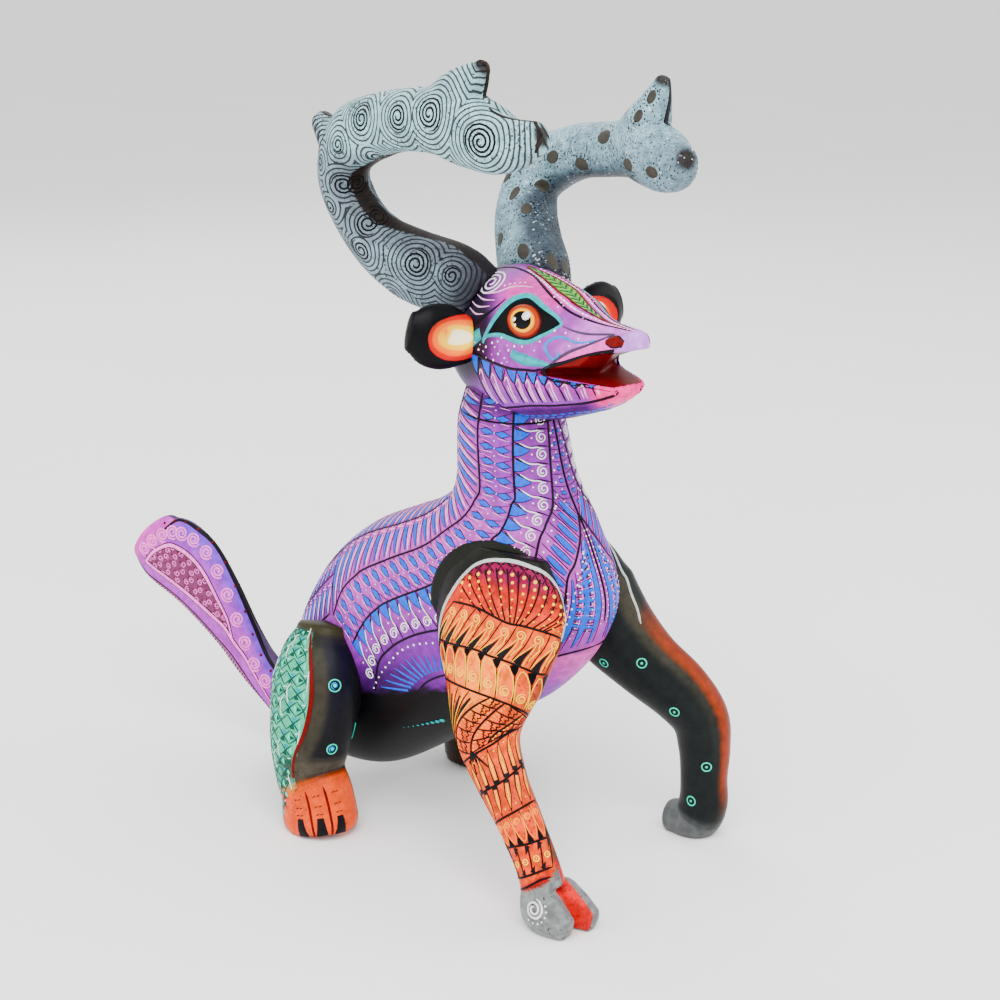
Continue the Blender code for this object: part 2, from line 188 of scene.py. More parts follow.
@dataclass(frozen=True)
class Place:
    """How a group of pieces is turned about an upright axis before it stands in the object's frame."""

    turn: float = 0.0
    pivot_y: float = 0.0

    def world(self, points: np.ndarray) -> np.ndarray:
        """Points of the group's own frame, in the object's frame.

        Args:
            points: Points of the group's own frame.

        Returns:
            The moved points.
        """
        c, s = math.cos(math.radians(self.turn)), math.sin(math.radians(self.turn))
        x, y = points[..., 0], points[..., 1] - self.pivot_y
        return np.stack([c * x - s * y, s * x + c * y + self.pivot_y + SHIFT_Y, points[..., 2]], -1)

    def local(self, points: np.ndarray) -> np.ndarray:
        """Points of the object's frame, in the group's own frame.

        Args:
            points: Points of the object's frame.

        Returns:
            The moved points.
        """
        c, s = math.cos(math.radians(self.turn)), math.sin(math.radians(self.turn))
        x, y = points[..., 0], points[..., 1] - self.pivot_y - SHIFT_Y
        return np.stack([c * x + s * y, -s * x + c * y + self.pivot_y, points[..., 2]], -1)


UPRIGHT = Place()
HEAD_PLACE = Place(turn=-12, pivot_y=20)
TAIL_PLACE = Place(turn=14, pivot_y=104)


def ring_faces(rings: int, sides: int, turned: bool = False) -> list[tuple[int, ...]]:
    """Quads that join rings of points, each ring to the next.

    Args:
        rings: How many rings there are.
        sides: Points in each.
        turned: Whether the faces look the other way.

    Returns:
        Vertex numbers of each face.
    """
    faces = []
    for start in range(0, (rings - 1) * sides, sides):
        for k in range(sides):
            a, b = start + k, start + (k + 1) % sides
            faces.append((a, a + sides, b + sides, b) if turned else (a, b, b + sides, a + sides))
    return faces


@dataclass
class Loft:
    """A closed skin over cross-sections, with a dome past each end.

    A place on it is (t, a): t runs along the rows, with the domes from -1 to 0 and one past the last
    row, and a is the angle round the section in degrees.
    """

    rows: Sequence[Sequence[float]]
    reach: tuple[float, float]
    place: Place = UPRIGHT
    floor: bool = False
    square: float = 2.0
    grow: float = 0.0

    def square_at(self, t: np.ndarray) -> np.ndarray:
        """How square the sections are at t."""
        return np.full_like(t, self.square)

    @property
    def last(self) -> int:
        """The position of the last row."""
        return len(self.rows) - 1

    def sections(self, t: np.ndarray) -> tuple[np.ndarray, np.ndarray, np.ndarray]:
        """Centre, side half axis and up half axis of the sections at t, without the domes."""
        raise NotImplementedError

    def at(self, t: np.ndarray, a: np.ndarray, square: float | np.ndarray = 2.0) -> np.ndarray:
        """Points of the skin.

        Args:
            t: Positions along the rows.
            a: Angles in degrees, of the same shape.
            square: 2 for an ellipse, more for a section with flatter sides.

        Returns:
            Points in the object's frame.
        """
        t, a = np.broadcast_arrays(np.asarray(t, float), np.asarray(a, float))
        centre, side, up = self.sections(t)
        before, after = np.clip(-t, 0, 1), np.clip(t - self.last, 0, 1)
        step = 0.3
        for over, end, inner, reach in (
            (before, 0.0, step, self.reach[0]),
            (after, float(self.last), self.last - step, self.reach[1]),
        ):
            out = unit(self.sections(np.array(end))[0] - self.sections(np.array(inner))[0])
            bend = over[..., None] * math.pi / 2
            centre = centre + out * (reach + self.grow) * np.sin(bend)
            side, up = side * np.cos(bend), up * np.cos(bend)
        c, s = np.cos(np.radians(a)), np.sin(np.radians(a))
        power = 2 / square
        x, y = np.sign(c) * np.abs(c) ** power, np.sign(s) * np.abs(s) ** power
        points = self.place.world(centre + side * x[..., None] + up * y[..., None])
        if self.floor:
            points[..., 2] = np.maximum(points[..., 2], 0)
        return points

    def grown(self, vectors: np.ndarray) -> np.ndarray:
        """Half axes made longer by the grow setting."""
        return vectors + unit(vectors) * self.grow

    def mesh(self, name: str, steps: int, sides: int) -> bpy.types.Object:
        """The skin as a closed mesh object.

        Args:
            name: The object's name.
            steps: Rings for each row.
            sides: Points round each ring.

        Returns:
            The new object, in metres.
        """
        dome = np.linspace(0, 1, 8)[1:-1]
        body = np.linspace(0, self.last, self.last * steps + 1)
        t = np.concatenate([-dome[::-1], body, self.last + dome])
        a = np.arange(sides) * 360 / sides
        rings = self.at(t[:, None], a[None, :], self.square_at(t)[:, None]).reshape(-1, 3)
        poles = self.at(np.array([-1.0, self.last + 1.0]), np.zeros(2))
        top, start = (len(t) - 1) * sides, len(t) * sides
        faces = ring_faces(len(t), sides)
        faces += [(k, start, (k + 1) % sides) for k in range(sides)]
        faces += [(top + k, top + (k + 1) % sides, start + 1) for k in range(sides)]
        return mesh_object(name, np.concatenate([rings, poles]), faces)

    def chart_of(self, points: np.ndarray) -> tuple[np.ndarray, np.ndarray]:
        """The chart coordinates nearest to each point.

        Args:
            points: Points in the object's frame.

        Returns:
            Positions t and angles a.
        """
        t = np.linspace(-0.9, self.last + 0.9, self.last * 10)
        a = np.arange(0, 360, 3.0)
        grid = self.at(t[:, None], a[None, :]).reshape(-1, 3)
        tree = KDTree(len(grid))
        for i, point in enumerate(grid):
            tree.insert(point, i)
        tree.balance()
        found = np.array([tree.find(point)[1] for point in points])
        return t[found // len(a)], a[found % len(a)]


class EdgeLoft(Loft):
    """A loft whose rows give two opposite edge points in the middle plane and a half width."""

    def sections(self, t: np.ndarray) -> tuple[np.ndarray, np.ndarray, np.ndarray]:
        """Centre, side half axis and up half axis of the sections at t, without the domes.

        Args:
            t: Positions along the rows.

        Returns:
            The three, one row for each position.
        """
        row = read_rows(self.rows, t)
        zero = np.zeros_like(row[..., 0])
        back = np.stack([zero, row[..., 0], row[..., 1]], -1)
        belly = np.stack([zero, row[..., 2], row[..., 3]], -1)
        side = np.stack([row[..., 4], zero, zero], -1)
        return (back + belly) / 2, self.grown(side), self.grown((back - belly) / 2)


class UprightLoft(Loft):
    """A loft of upright sections: y, top z, bottom z and half width; they get square towards its end."""

    def square_at(self, t: np.ndarray) -> np.ndarray:
        """Round at the start and square at the end."""
        return self.square + 1.5 * smooth(t, self.last - 4, self.last - 0.5)

    def sections(self, t: np.ndarray) -> tuple[np.ndarray, np.ndarray, np.ndarray]:
        """Centre, side half axis and up half axis of the sections at t, without the domes.

        Args:
            t: Positions along the rows.

        Returns:
            The three, one row for each position.
        """
        row = read_rows(self.rows, t)
        y, top, bottom, width = (row[..., k] for k in range(4))
        zero = np.zeros_like(y)
        centre = np.stack([zero, y, (top + bottom) / 2], -1)
        side = np.stack([width, zero, zero], -1)
        return centre, self.grown(side), self.grown(np.stack([zero, zero, (top - bottom) / 2], -1))


@dataclass
class SpineLoft(Loft):
    """A loft square to a spine: x, y, z, half width along the side axis and half depth across it."""

    side_axis: tuple[float, float, float] = (1, 0, 0)

    def sections(self, t: np.ndarray) -> tuple[np.ndarray, np.ndarray, np.ndarray]:
        """Centre, side half axis and up half axis of the sections at t, without the domes.

        Args:
            t: Positions along the rows.

        Returns:
            The three, one row for each position.
        """
        row = read_rows(self.rows, t)
        step = 0.4
        along = read_rows(self.rows, t + step)[..., :3] - read_rows(self.rows, t - step)[..., :3]
        across = unit(np.cross(along, np.asarray(self.side_axis, float)))
        side = unit(np.cross(across, along))
        return row[..., :3], self.grown(side * row[..., 3:4]), self.grown(across * row[..., 4:5])


def mesh_object(name: str, points: np.ndarray, faces: Sequence, edges: Sequence = ()) -> bpy.types.Object:
    """A mesh object from points in millimetres.

    Args:
        name: The object's name.
        points: One row for each vertex.
        faces: Vertex numbers of each face.
        edges: Vertex numbers of each loose edge.

    Returns:
        The object, linked to the scene.
    """
    data = bpy.data.meshes.new(name)
    data.from_pydata(
        (np.asarray(points) * MM).tolist(), [tuple(e) for e in edges], [tuple(f) for f in faces]
    )
    data.shade_smooth()
    made = bpy.data.objects.new(name, data)
    bpy.context.scene.collection.objects.link(made)
    return made


def applied(obj: bpy.types.Object) -> bpy.types.Object:
    """Turns an object's modifiers into its mesh.

    Args:
        obj: An object with modifiers.

    Returns:
        The same object.
    """
    graph = bpy.context.evaluated_depsgraph_get()
    data = bpy.data.meshes.new_from_object(obj.evaluated_get(graph))
    obj.modifiers.clear()
    old = obj.data
    obj.data = data
    bpy.data.meshes.remove(old)
    return obj


def joined(name: str, objects: Sequence[bpy.types.Object]) -> bpy.types.Object:
    """One object that holds the meshes of several, which are removed.

    Args:
        name: The new object's name.
        objects: Mesh objects.

    Returns:
        The new object.
    """
    points, faces, count = [], [], 0
    for obj in objects:
        points.append(vertices(obj))
        faces += [tuple(count + v for v in face.vertices) for face in obj.data.polygons]
        count += len(obj.data.vertices)
        bpy.data.objects.remove(obj)
    return mesh_object(name, np.concatenate(points), faces)


def vertices(obj: bpy.types.Object) -> np.ndarray:
    """The object's vertices in millimetres.

    Args:
        obj: A mesh object.

    Returns:
        One row for each vertex.
    """
    flat = np.empty(len(obj.data.vertices) * 3)
    obj.data.vertices.foreach_get("co", flat)
    return flat.reshape(-1, 3) / MM


def carve(
    obj: bpy.types.Object, voxel: float, cutters: Sequence[bpy.types.Object] = (), rounds: int = 6
) -> bpy.types.Object:
    """Melts overlapping shells into one rounded solid and cuts it.

    Args:
        obj: The shells.
        voxel: The size of the new mesh's cells; 0 leaves the mesh as it is.
        cutters: What is cut away, each removed afterwards.
        rounds: How often the melted mesh is smoothed.

    Returns:
        The same object.
    """
    if voxel:
        melt = obj.modifiers.new("melt", "REMESH")
        melt.mode = "VOXEL"
        melt.voxel_size = voxel * MM
        soften = obj.modifiers.new("soften", "SMOOTH")
        soften.factor = 0.5
        soften.iterations = rounds
    for cutter in cutters:
        cut = obj.modifiers.new(f"cut_{cutter.name}", "BOOLEAN")
        cut.operation = "DIFFERENCE"
        cut.object = cutter
        cut.solver = "EXACT"
    applied(obj)
    for cutter in cutters:
        bpy.data.objects.remove(cutter)
    obj.data.shade_smooth()
    obj.data.set_sharp_from_angle(angle=math.radians(50))
    return obj


def write_attribute(obj: bpy.types.Object, name: str, values: np.ndarray) -> None:
    """Stores a number or a colour for each vertex.

    Args:
        obj: A mesh object.
        name: The attribute's name.
        values: One number, or one row of three, for each vertex.
    """
    kind = "FLOAT" if values.ndim == 1 else "FLOAT_COLOR"
    layer = obj.data.attributes.new(name, kind, "POINT")
    if kind == "FLOAT":
        layer.data.foreach_set("value", values.astype(np.float32))
    else:
        rgba = np.ones((len(values), 4), np.float32)
        rgba[:, :3] = deepened(values)
        layer.data.foreach_set("color", rgba.ravel())


class Wire:
    """An output socket that makes a Math node when it is used in arithmetic."""

    def __init__(self, graph: "Graph", socket: bpy.types.NodeSocket) -> None:
        """Wraps the socket."""
        self.graph, self.socket = graph, socket

    def math(self, operation: str, *others: "Wire | float") -> "Wire":
        """A Math node on this wire and the others."""
        return self.graph.node("ShaderNodeMath", {"operation": operation}, dict(enumerate((self, *others))))

    def __add__(self, other: "Wire | float") -> "Wire":
        """This plus other."""
        return self.math("ADD", other)

    def __mul__(self, other: "Wire | float") -> "Wire":
        """This times other."""
        return self.math("MULTIPLY", other)

    def __sub__(self, other: "Wire | float") -> "Wire":
        """This minus other."""
        return self.math("SUBTRACT", other)

    def __rsub__(self, other: float) -> "Wire":
        """A number minus this."""
        return self.graph.node("ShaderNodeMath", {"operation": "SUBTRACT"}, {0: other, 1: self})

    def __truediv__(self, other: "Wire | float") -> "Wire":
        """This divided by other."""
        return self.math("DIVIDE", other)

    __radd__ = __add__
    __rmul__ = __mul__

    def step(self, low: float, high: float) -> "Wire":
        """Rises smoothly from 0 where this is low to 1 where it is high."""
        inputs = {"Value": self, "From Min": low, "From Max": high}
        return self.graph.node("ShaderNodeMapRange", {"interpolation_type": "SMOOTHSTEP"}, inputs)


class Graph:
    """Adds nodes to a node tree."""

    def __init__(self, tree: bpy.types.NodeTree) -> None:
        """Works on the tree."""
        self.tree = tree

    def node(
        self, kind: str, settings: dict | None = None, inputs: dict | None = None, out: int | str = 0
    ) -> Wire:
        """Adds one node.

        Args:
            kind: The node's type.
            settings: Its properties; "stops" gives a ramp's (position, colour) pairs.
            inputs: A value or a wire for each input, by name or number.
            out: The output that is returned.

        Returns:
            The chosen output.
        """
        made = self.tree.nodes.new(kind)
        for key, value in (settings or {}).items():
            if key == "stops":
                self.set_stops(made.color_ramp, value)
            else:
                setattr(made, key, value)
        for key, value in (inputs or {}).items():
            if isinstance(value, Wire):
                self.tree.links.new(value.socket, made.inputs[key])
            else:
                made.inputs[key].default_value = value
        return Wire(self, made.outputs[out]) if made.outputs else Wire(self, None)

    @staticmethod
    def set_stops(ramp: bpy.types.ColorRamp, stops: Sequence[tuple[float, Colour]]) -> None:
        """Puts colour stops on a ramp.

        Args:
            ramp: The ramp.
            stops: Positions and colours.
        """
        while len(ramp.elements) < len(stops):
            ramp.elements.new(1.0)
        for element, (position, colour) in zip(ramp.elements, stops):
            element.position = position
            element.color = (*colour, 1)

    def mix_colour(self, blend: str, factor: Wire | float, a: Wire | tuple, b: Wire | tuple) -> Wire:
        """Mixes two colours."""
        kind = {"data_type": "RGBA", "blend_type": blend}
        return self.node("ShaderNodeMix", kind, {0: factor, 6: a, 7: b}, out=2)


@dataclass(frozen=True)
class Finish:
    """A finish: its colour comes from subclasses, its bump and gloss are set here."""

    name: str
    roughness: float = 0.42
    grain: float = 0.02

    def colour(self, graph: Graph, place: Wire) -> Wire:
        """The base colour.

        Args:
            graph: The material's graph.
            place: Object coordinates.

        Returns:
            A colour wire.
        """
        raise NotImplementedError

    def material(self) -> bpy.types.Material:
        """Builds the material once, and returns the same one after that.

        Returns:
            The material.
        """
        if self.name in bpy.data.materials:
            return bpy.data.materials[self.name]
        made = bpy.data.materials.new(self.name)
        made.use_nodes = True
        made.node_tree.nodes.clear()
        graph = Graph(made.node_tree)
        place = graph.node("ShaderNodeTexCoord", out="Object")
        brushed = graph.node(
            "ShaderNodeTexNoise", None, {
                "Vector": self.stretched(graph, place), "Scale": 1500.0, "Detail": 2.0
            }
        )
        facets = graph.node("ShaderNodeTexNoise", None, {"Vector": place, "Scale": 160.0, "Detail": 1.0})
        height = brushed * 0.35 + facets
        normal = graph.node(
            "ShaderNodeBump", None, {"Strength": 0.5, "Distance": self.grain * MM, "Height": height}
        )
        rough = brushed * 0.16 + (self.roughness - 0.08)
        shader = graph.node(
            "ShaderNodeBsdfPrincipled",
            None,
            {
                "Base Color": self.colour(graph, place),
                "Roughness": rough,
                "Normal": normal,
                "Specular IOR Level": 0.08,
            },
        )
        graph.node("ShaderNodeOutputMaterial", None, {"Surface": shader})
        return made

    @staticmethod
    def stretched(graph: Graph, place: Wire) -> Wire:
        """Object coordinates drawn out along the wood's upright grain."""
        return graph.node("ShaderNodeMapping", None, {"Vector": place, "Scale": (1.0, 1.0, 0.16)})

    def dress(self, obj: bpy.types.Object) -> None:
        """Makes this the object's only finish."""
        obj.data.materials.clear()
        obj.data.materials.append(self.material())


@dataclass(frozen=True)
class SpongedPaint(Finish):
    """Ground paint from the "ground" attribute, dabbed on so that it is lighter and darker in spots."""

    mottle: float = 0.35
    dark: float = 0.0
    light: float = 0.0
    light_colour: Colour = (0.7, 0.74, 0.74)
    lines: bool = False

    def colour(self, graph: Graph, place: Wire) -> Wire:
        """The ground colour with dabs, fine dark and light specks and, if asked for, flow lines.

        Args:
            graph: The material's graph.
            place: Object coordinates.

        Returns:
            A colour wire.
        """
        ground = graph.node("ShaderNodeAttribute", {"attribute_name": "ground"}, out="Color")
        dabs = graph.node("ShaderNodeTexNoise", None, {"Vector": place, "Scale": 420.0, "Detail": 4.0})
        cloud = graph.node("ShaderNodeTexNoise", None, {"Vector": place, "Scale": 90.0, "Detail": 3.0})
        tone = (dabs * 0.65 + cloud * 0.35).step(0.36, 0.64) * (2 * self.mottle) + (1 - self.mottle)
        grey = graph.node("ShaderNodeCombineColor", None, {0: tone, 1: tone, 2: tone})
        out = graph.mix_colour("MULTIPLY", 1.0, ground, grey)
        for amount, scale, colour in (
            (self.dark, 1400.0, Ink.BLACK.value),
            (self.light, 1100.0, self.light_colour),
        ):
            if amount:
                speck = graph.node(
                    "ShaderNodeTexNoise", None, {"Vector": place, "Scale": scale, "Detail": 2.0}
                )
                patch = graph.node("ShaderNodeTexNoise", None, {"Vector": place, "Scale": scale / 12})
                mask = (speck + patch * 0.35).step(0.86 - 0.2 * amount, 0.92 - 0.2 * amount)
                out = graph.mix_colour("MIX", mask * 0.85, out, (*colour, 1))
        if self.lines:
            flow = graph.node("ShaderNodeAttribute", {"attribute_name": "flow"}, out="Fac")
            wobble = graph.node("ShaderNodeTexNoise", None, {"Vector": place, "Scale": 200.0})
            phase = (flow / FLOW_PITCH + wobble * 0.35).math("FRACT")
            edge = (phase - 0.5).math("ABSOLUTE").step(0.15, 0.22)
            out = graph.mix_colour("MIX", (1 - edge) * 0.92, out, (*Ink.BLACK.value, 1))
        return out


@dataclass(frozen=True)
class BrushedInk(Finish):
    """Line paint, whose colour is the "ink" attribute, a little uneven as a brush leaves it."""

    def colour(self, graph: Graph, place: Wire) -> Wire:
        """The ink's colour with faint streaks.

        Args:
            graph: The material's graph.
            place: Object coordinates.

        Returns:
            A colour wire.
        """
        ink = graph.node("ShaderNodeAttribute", {"attribute_name": "ink"}, out="Color")
        streak = graph.node("ShaderNodeTexNoise", None, {"Vector": place, "Scale": 700.0, "Detail": 3.0})
        tone = streak.step(0.3, 0.7) * 0.3 + 0.85
        grey = graph.node("ShaderNodeCombineColor", None, {0: tone, 1: tone, 2: tone})
        return graph.mix_colour("MULTIPLY", 1.0, ink, grey)


@dataclass(frozen=True)
class RingedPaint(Finish):
    """Paint in blended rings, by the "ring" attribute that runs from 0 in the middle to 1."""

    stops: tuple[tuple[float, Colour], ...] = ()

    def colour(self, graph: Graph, place: Wire) -> Wire:
        """The ring's colour, its edges a little unsteady.

        Args:
            graph: The material's graph.
            place: Object coordinates.

        Returns:
            A colour wire.
        """
        ring = graph.node("ShaderNodeAttribute", {"attribute_name": "ring"}, out="Fac")
        wobble = graph.node("ShaderNodeTexNoise", None, {"Vector": place, "Scale": 600.0, "Detail": 2.0})
        stops = [(place_, tuple(deepened(np.array(colour)))) for place_, colour in self.stops]
        return graph.node("ShaderNodeValToRGB", {"stops": stops}, {0: ring + (wobble * 0.04 - 0.02)})


@dataclass(frozen=True)
class DryWood(Finish):
    """Bare copal wood, with faint year rings along the stick."""

    def colour(self, graph: Graph, place: Wire) -> Wire:
        """Pale straw wood with darker grain.

        Args:
            graph: The material's graph.
            place: Object coordinates.

        Returns:
            A colour wire.
        """
        grain = graph.node(
            "ShaderNodeTexNoise", None, {
                "Vector": self.stretched(graph, place), "Scale": 900.0, "Detail": 5.0
            }
        )
        stops = ((0.3, (0.42, 0.25, 0.12)), (0.5, (0.62, 0.43, 0.24)), (0.7, (0.74, 0.56, 0.36)))
        return graph.node("ShaderNodeValToRGB", {"stops": stops}, {0: grain})


@dataclass(frozen=True)
class PaleFloor(Finish):
    """The plain floor under the figure."""

    def colour(self, graph: Graph, place: Wire) -> Wire:
        """A warm white with the faintest clouds."""
        cloud = graph.node("ShaderNodeTexNoise", None, {"Vector": place, "Scale": 6.0})
        return graph.node(
            "ShaderNodeValToRGB", {"stops": ((0.2, (0.92, 0.915, 0.9)), (0.8, (0.95, 0.945, 0.93)))},
            {0: cloud}
        )


FLOW_PITCH = 1.45
PALE_FLOOR = PaleFloor("pale_floor", roughness=0.8, grain=0.0)
BRUSHED_INK = BrushedInk("brushed_ink", roughness=0.4, grain=0.01)
BODY_GROUND = SpongedPaint("body_ground", roughness=0.4, mottle=0.2)
SMOKY_GROUND = SpongedPaint("smoky_ground", roughness=0.38, mottle=0.2)
SPIRAL_ANTLER_GROUND = SpongedPaint(
    "spiral_antler_ground", roughness=0.5, mottle=0.22, dark=0.4, lines=True
)
SPOTTED_ANTLER_GROUND = SpongedPaint(
    "spotted_antler_ground", roughness=0.5, mottle=0.3, dark=0.55, light=0.12
)
DRY_WOOD = DryWood("dry_copal_wood", roughness=0.7, grain=0.06)
IRIS = RingedPaint(
    "iris_paint",
    roughness=0.32,
    grain=0.004,
    stops=(
        (0.0, (0.004, 0.004, 0.005)),
        (0.5, (0.004, 0.004, 0.005)),
        (0.53, (0.1, 0.04, 0.0)),
        (0.56, (0.8, 0.54, 0.01)),
        (0.66, (0.78, 0.42, 0.0)),
        (0.72, (0.55, 0.2, 0.0)),
        (0.78, (0.3, 0.05, 0.0)),
        (0.86, (0.4, 0.09, 0.0)),
        (0.93, (0.22, 0.03, 0.0)),
        (1.0, (0.1, 0.012, 0.0)),
    ),
)
FLAME = RingedPaint(
    "flame_paint",
    roughness=0.4,
    grain=0.01,
    stops=(
        (0.0, (0.97, 0.95, 0.85)),
        (0.24, (0.97, 0.92, 0.66)),
        (0.27, (0.93, 0.68, 0.06)),
        (0.4, (0.92, 0.56, 0.01)),
        (0.44, (0.85, 0.3, 0.0)),
        (0.58, (0.8, 0.22, 0.0)),
        (0.62, (0.6, 0.05, 0.0)),
        (0.75, (0.5, 0.02, 0.0)),
        (0.77, (0.006, 0.006, 0.008)),
    ),
)


def paint_tree(name: str, sockets: dict[str, str]) -> tuple[Graph, list[Wire]]:
    """Starts a tree that lays paint on a surface.

    Args:
        name: The tree's name.
        sockets: Names and types of its own inputs, which stand between the surface and the paint.

    Returns:
        The graph, and a wire for each input.
    """
    tree = bpy.data.node_groups.new(name, "GeometryNodeTree")
    kinds = {"Geometry": "Geometry", "Surface": "Object", **sockets, "Paint": "Material"}
    for socket, kind in kinds.items():
        tree.interface.new_socket(socket, in_out="INPUT", socket_type=f"NodeSocket{kind}")
    tree.interface.new_socket("Geometry", in_out="OUTPUT", socket_type="NodeSocketGeometry")
    graph = Graph(tree)
    source = tree.nodes.new("NodeGroupInput")
    return graph, [Wire(graph, source.outputs[k]) for k in range(len(kinds))]


def stored(g: Graph, name: str) -> Wire:
    """A number that is stored on each point."""
    return g.node(
        "GeometryNodeInputNamedAttribute", {"data_type": "FLOAT"}, {"Name": name}, out="Attribute"
    )


def landed(g: Graph, made: Wire, wood: Wire, height: Wire) -> tuple[Wire, Wire]:
    """Moves geometry to the nearest places of the wood.

    Args:
        g: The tree's graph.
        made: The geometry.
        wood: The surface.
        height: How far out of the surface each point goes.

    Returns:
        The moved geometry, and the way the wood faces at each point.
    """
    facing = g.node("GeometryNodeInputNormal")
    nearest = g.node("GeometryNodeProximity", {"target_element": "FACES"}, {0: wood}, out="Position")
    sample = {"Mesh": wood, "Value": facing, "Sample Position": nearest}
    out = g.node("GeometryNodeSampleNearestSurface", {"data_type": "FLOAT_VECTOR"}, sample)
    raised = g.node("ShaderNodeVectorMath", {"operation": "SCALE"}, {0: out, "Scale": height})
    there = g.node("ShaderNodeVectorMath", {"operation": "ADD"}, {0: nearest, 1: raised})
    return g.node("GeometryNodeSetPosition", None, {"Geometry": made, "Position": there}), out


def stroke_tree() -> bpy.types.NodeTree:
    """A tree that turns polylines into raised strokes of paint lying on a surface.

    Returns:
        The tree.
    """
    sockets = {"Sink": "Float", "Section Points": "Int", "Inner Spread": "Float"}
    g, (lines, surface, sink, count, spread, paint) = paint_tree("brush_strokes", sockets)
    wood = g.node(
        "GeometryNodeObjectInfo", {"transform_space": "RELATIVE"}, {"Object": surface}, out="Geometry"
    )
    place = g.node("GeometryNodeInputPosition")
    facing = g.node("GeometryNodeInputNormal")
    at_curve = g.node(
        "GeometryNodeSampleNearestSurface", {"data_type": "FLOAT_VECTOR"}, {"Mesh": wood, "Value": facing}
    )
    curve = g.node("GeometryNodeMeshToCurve", None, {"Mesh": lines})
    turned = g.node("GeometryNodeSetCurveNormal", {"mode": "FREE"}, {"Curve": curve, "Normal": at_curve})
    # The section is a flat ridge: its two edges go under the surface and its top stands proud of it.
    rim = g.node("GeometryNodeCurvePrimitiveLine", None, {"Start": (0, -1, 0), "End": (0, 1, 0)})
    section = g.node("GeometryNodeResampleCurve", {"mode": "COUNT"}, {"Curve": rim, "Count": count})
    across = g.node("ShaderNodeSeparateXYZ", None, {0: place}, out="Y")
    inner = across.math("ABSOLUTE").math("LESS_THAN", 0.95)
    spread_out = g.node("ShaderNodeCombineXYZ", None, {"Y": across * (inner * (spread - 1.0) + 1.0)})
    flat_top = g.node("GeometryNodeSetPosition", None, {"Geometry": section, "Position": spread_out})
    closed = g.node("GeometryNodeSetSplineCyclic", None, {"Geometry": flat_top, "Cyclic": True})
    proud = g.node(
        "GeometryNodeStoreNamedAttribute",
        {"data_type": "FLOAT", "domain": "POINT"},
        {"Geometry": closed, "Name": "proud", "Value": across.math("ABSOLUTE").math("LESS_THAN", 0.95)},
    )
    swept = g.node(
        "GeometryNodeCurveToMesh",
        None,
        {"Curve": turned, "Profile Curve": proud, "Scale": stored(g, "half_width"), "Fill Caps": True},
    )
    height = stored(g, "proud") * (stored(g, "lift") + sink) - sink
    laid, _ = landed(g, swept, wood, height)
    return finish_tree(g, laid, paint)


def dot_tree() -> bpy.types.NodeTree:
    """A tree that puts a flattened bead of paint on a surface at each point.

    Returns:
        The tree.
    """
    g, (points, surface, flatness, paint) = paint_tree("paint_dots", {"Flatness": "Float"})
    wood = g.node(
        "GeometryNodeObjectInfo", {"transform_space": "RELATIVE"}, {"Object": surface}, out="Geometry"
    )
    moved, out = landed(g, points, wood, stored(g, "lift"))
    radius = stored(g, "half_width")
    bead = g.node("GeometryNodeMeshUVSphere", None, {"Segments": 9, "Rings": 5, "Radius": 1.0}, out="Mesh")
    turn = g.node("FunctionNodeAlignRotationToVector", {"axis": "Z"}, {"Vector": out})
    size = g.node("ShaderNodeCombineXYZ", None, {"X": radius, "Y": radius, "Z": radius * flatness})
    set_down = g.node(
        "GeometryNodeInstanceOnPoints", None, {
            "Points": moved, "Instance": bead, "Rotation": turn, "Scale": size
        }
    )
    return finish_tree(g, set_down, paint)


def finish_tree(g: Graph, made: Wire, paint: Wire) -> bpy.types.NodeTree:
    """Ends a tree: instances made real, smooth shading and the paint.

    Args:
        g: The tree's graph.
        made: The geometry.
        paint: Its material.

    Returns:
        The tree.
    """
    real = g.node("GeometryNodeRealizeInstances", None, {"Geometry": made})
    smoothed = g.node("GeometryNodeSetShadeSmooth", {"domain": "FACE"}, {0: real, "Shade Smooth": True})
    painted = g.node("GeometryNodeSetMaterial", None, {"Geometry": smoothed, "Material": paint})
    end = g.tree.nodes.new("NodeGroupOutput")
    g.tree.links.new(painted.socket, end.inputs[0])
    return g.tree


def grow_tree(obj: bpy.types.Object, tree: bpy.types.NodeTree, inputs: dict) -> bpy.types.Object:
    """Runs a tree on an object and keeps the result as its mesh.

    Args:
        obj: The object whose mesh goes in.
        tree: The tree.
        inputs: Values by the names of the tree's inputs.

    Returns:
        The same object.
    """
    made = obj.modifiers.new(tree.name, "NODES")
    made.node_group = tree
    for item in tree.interface.items_tree:
        if item.item_type == "SOCKET" and item.in_out == "INPUT" and item.name in inputs:
            made[item.identifier] = inputs[item.name]
    return applied(obj)


@dataclass
class Line:
    """One stroke: its points in millimetres, half widths, ink and height."""

    points: np.ndarray
    half: np.ndarray
    ink: Colour
    lift: float


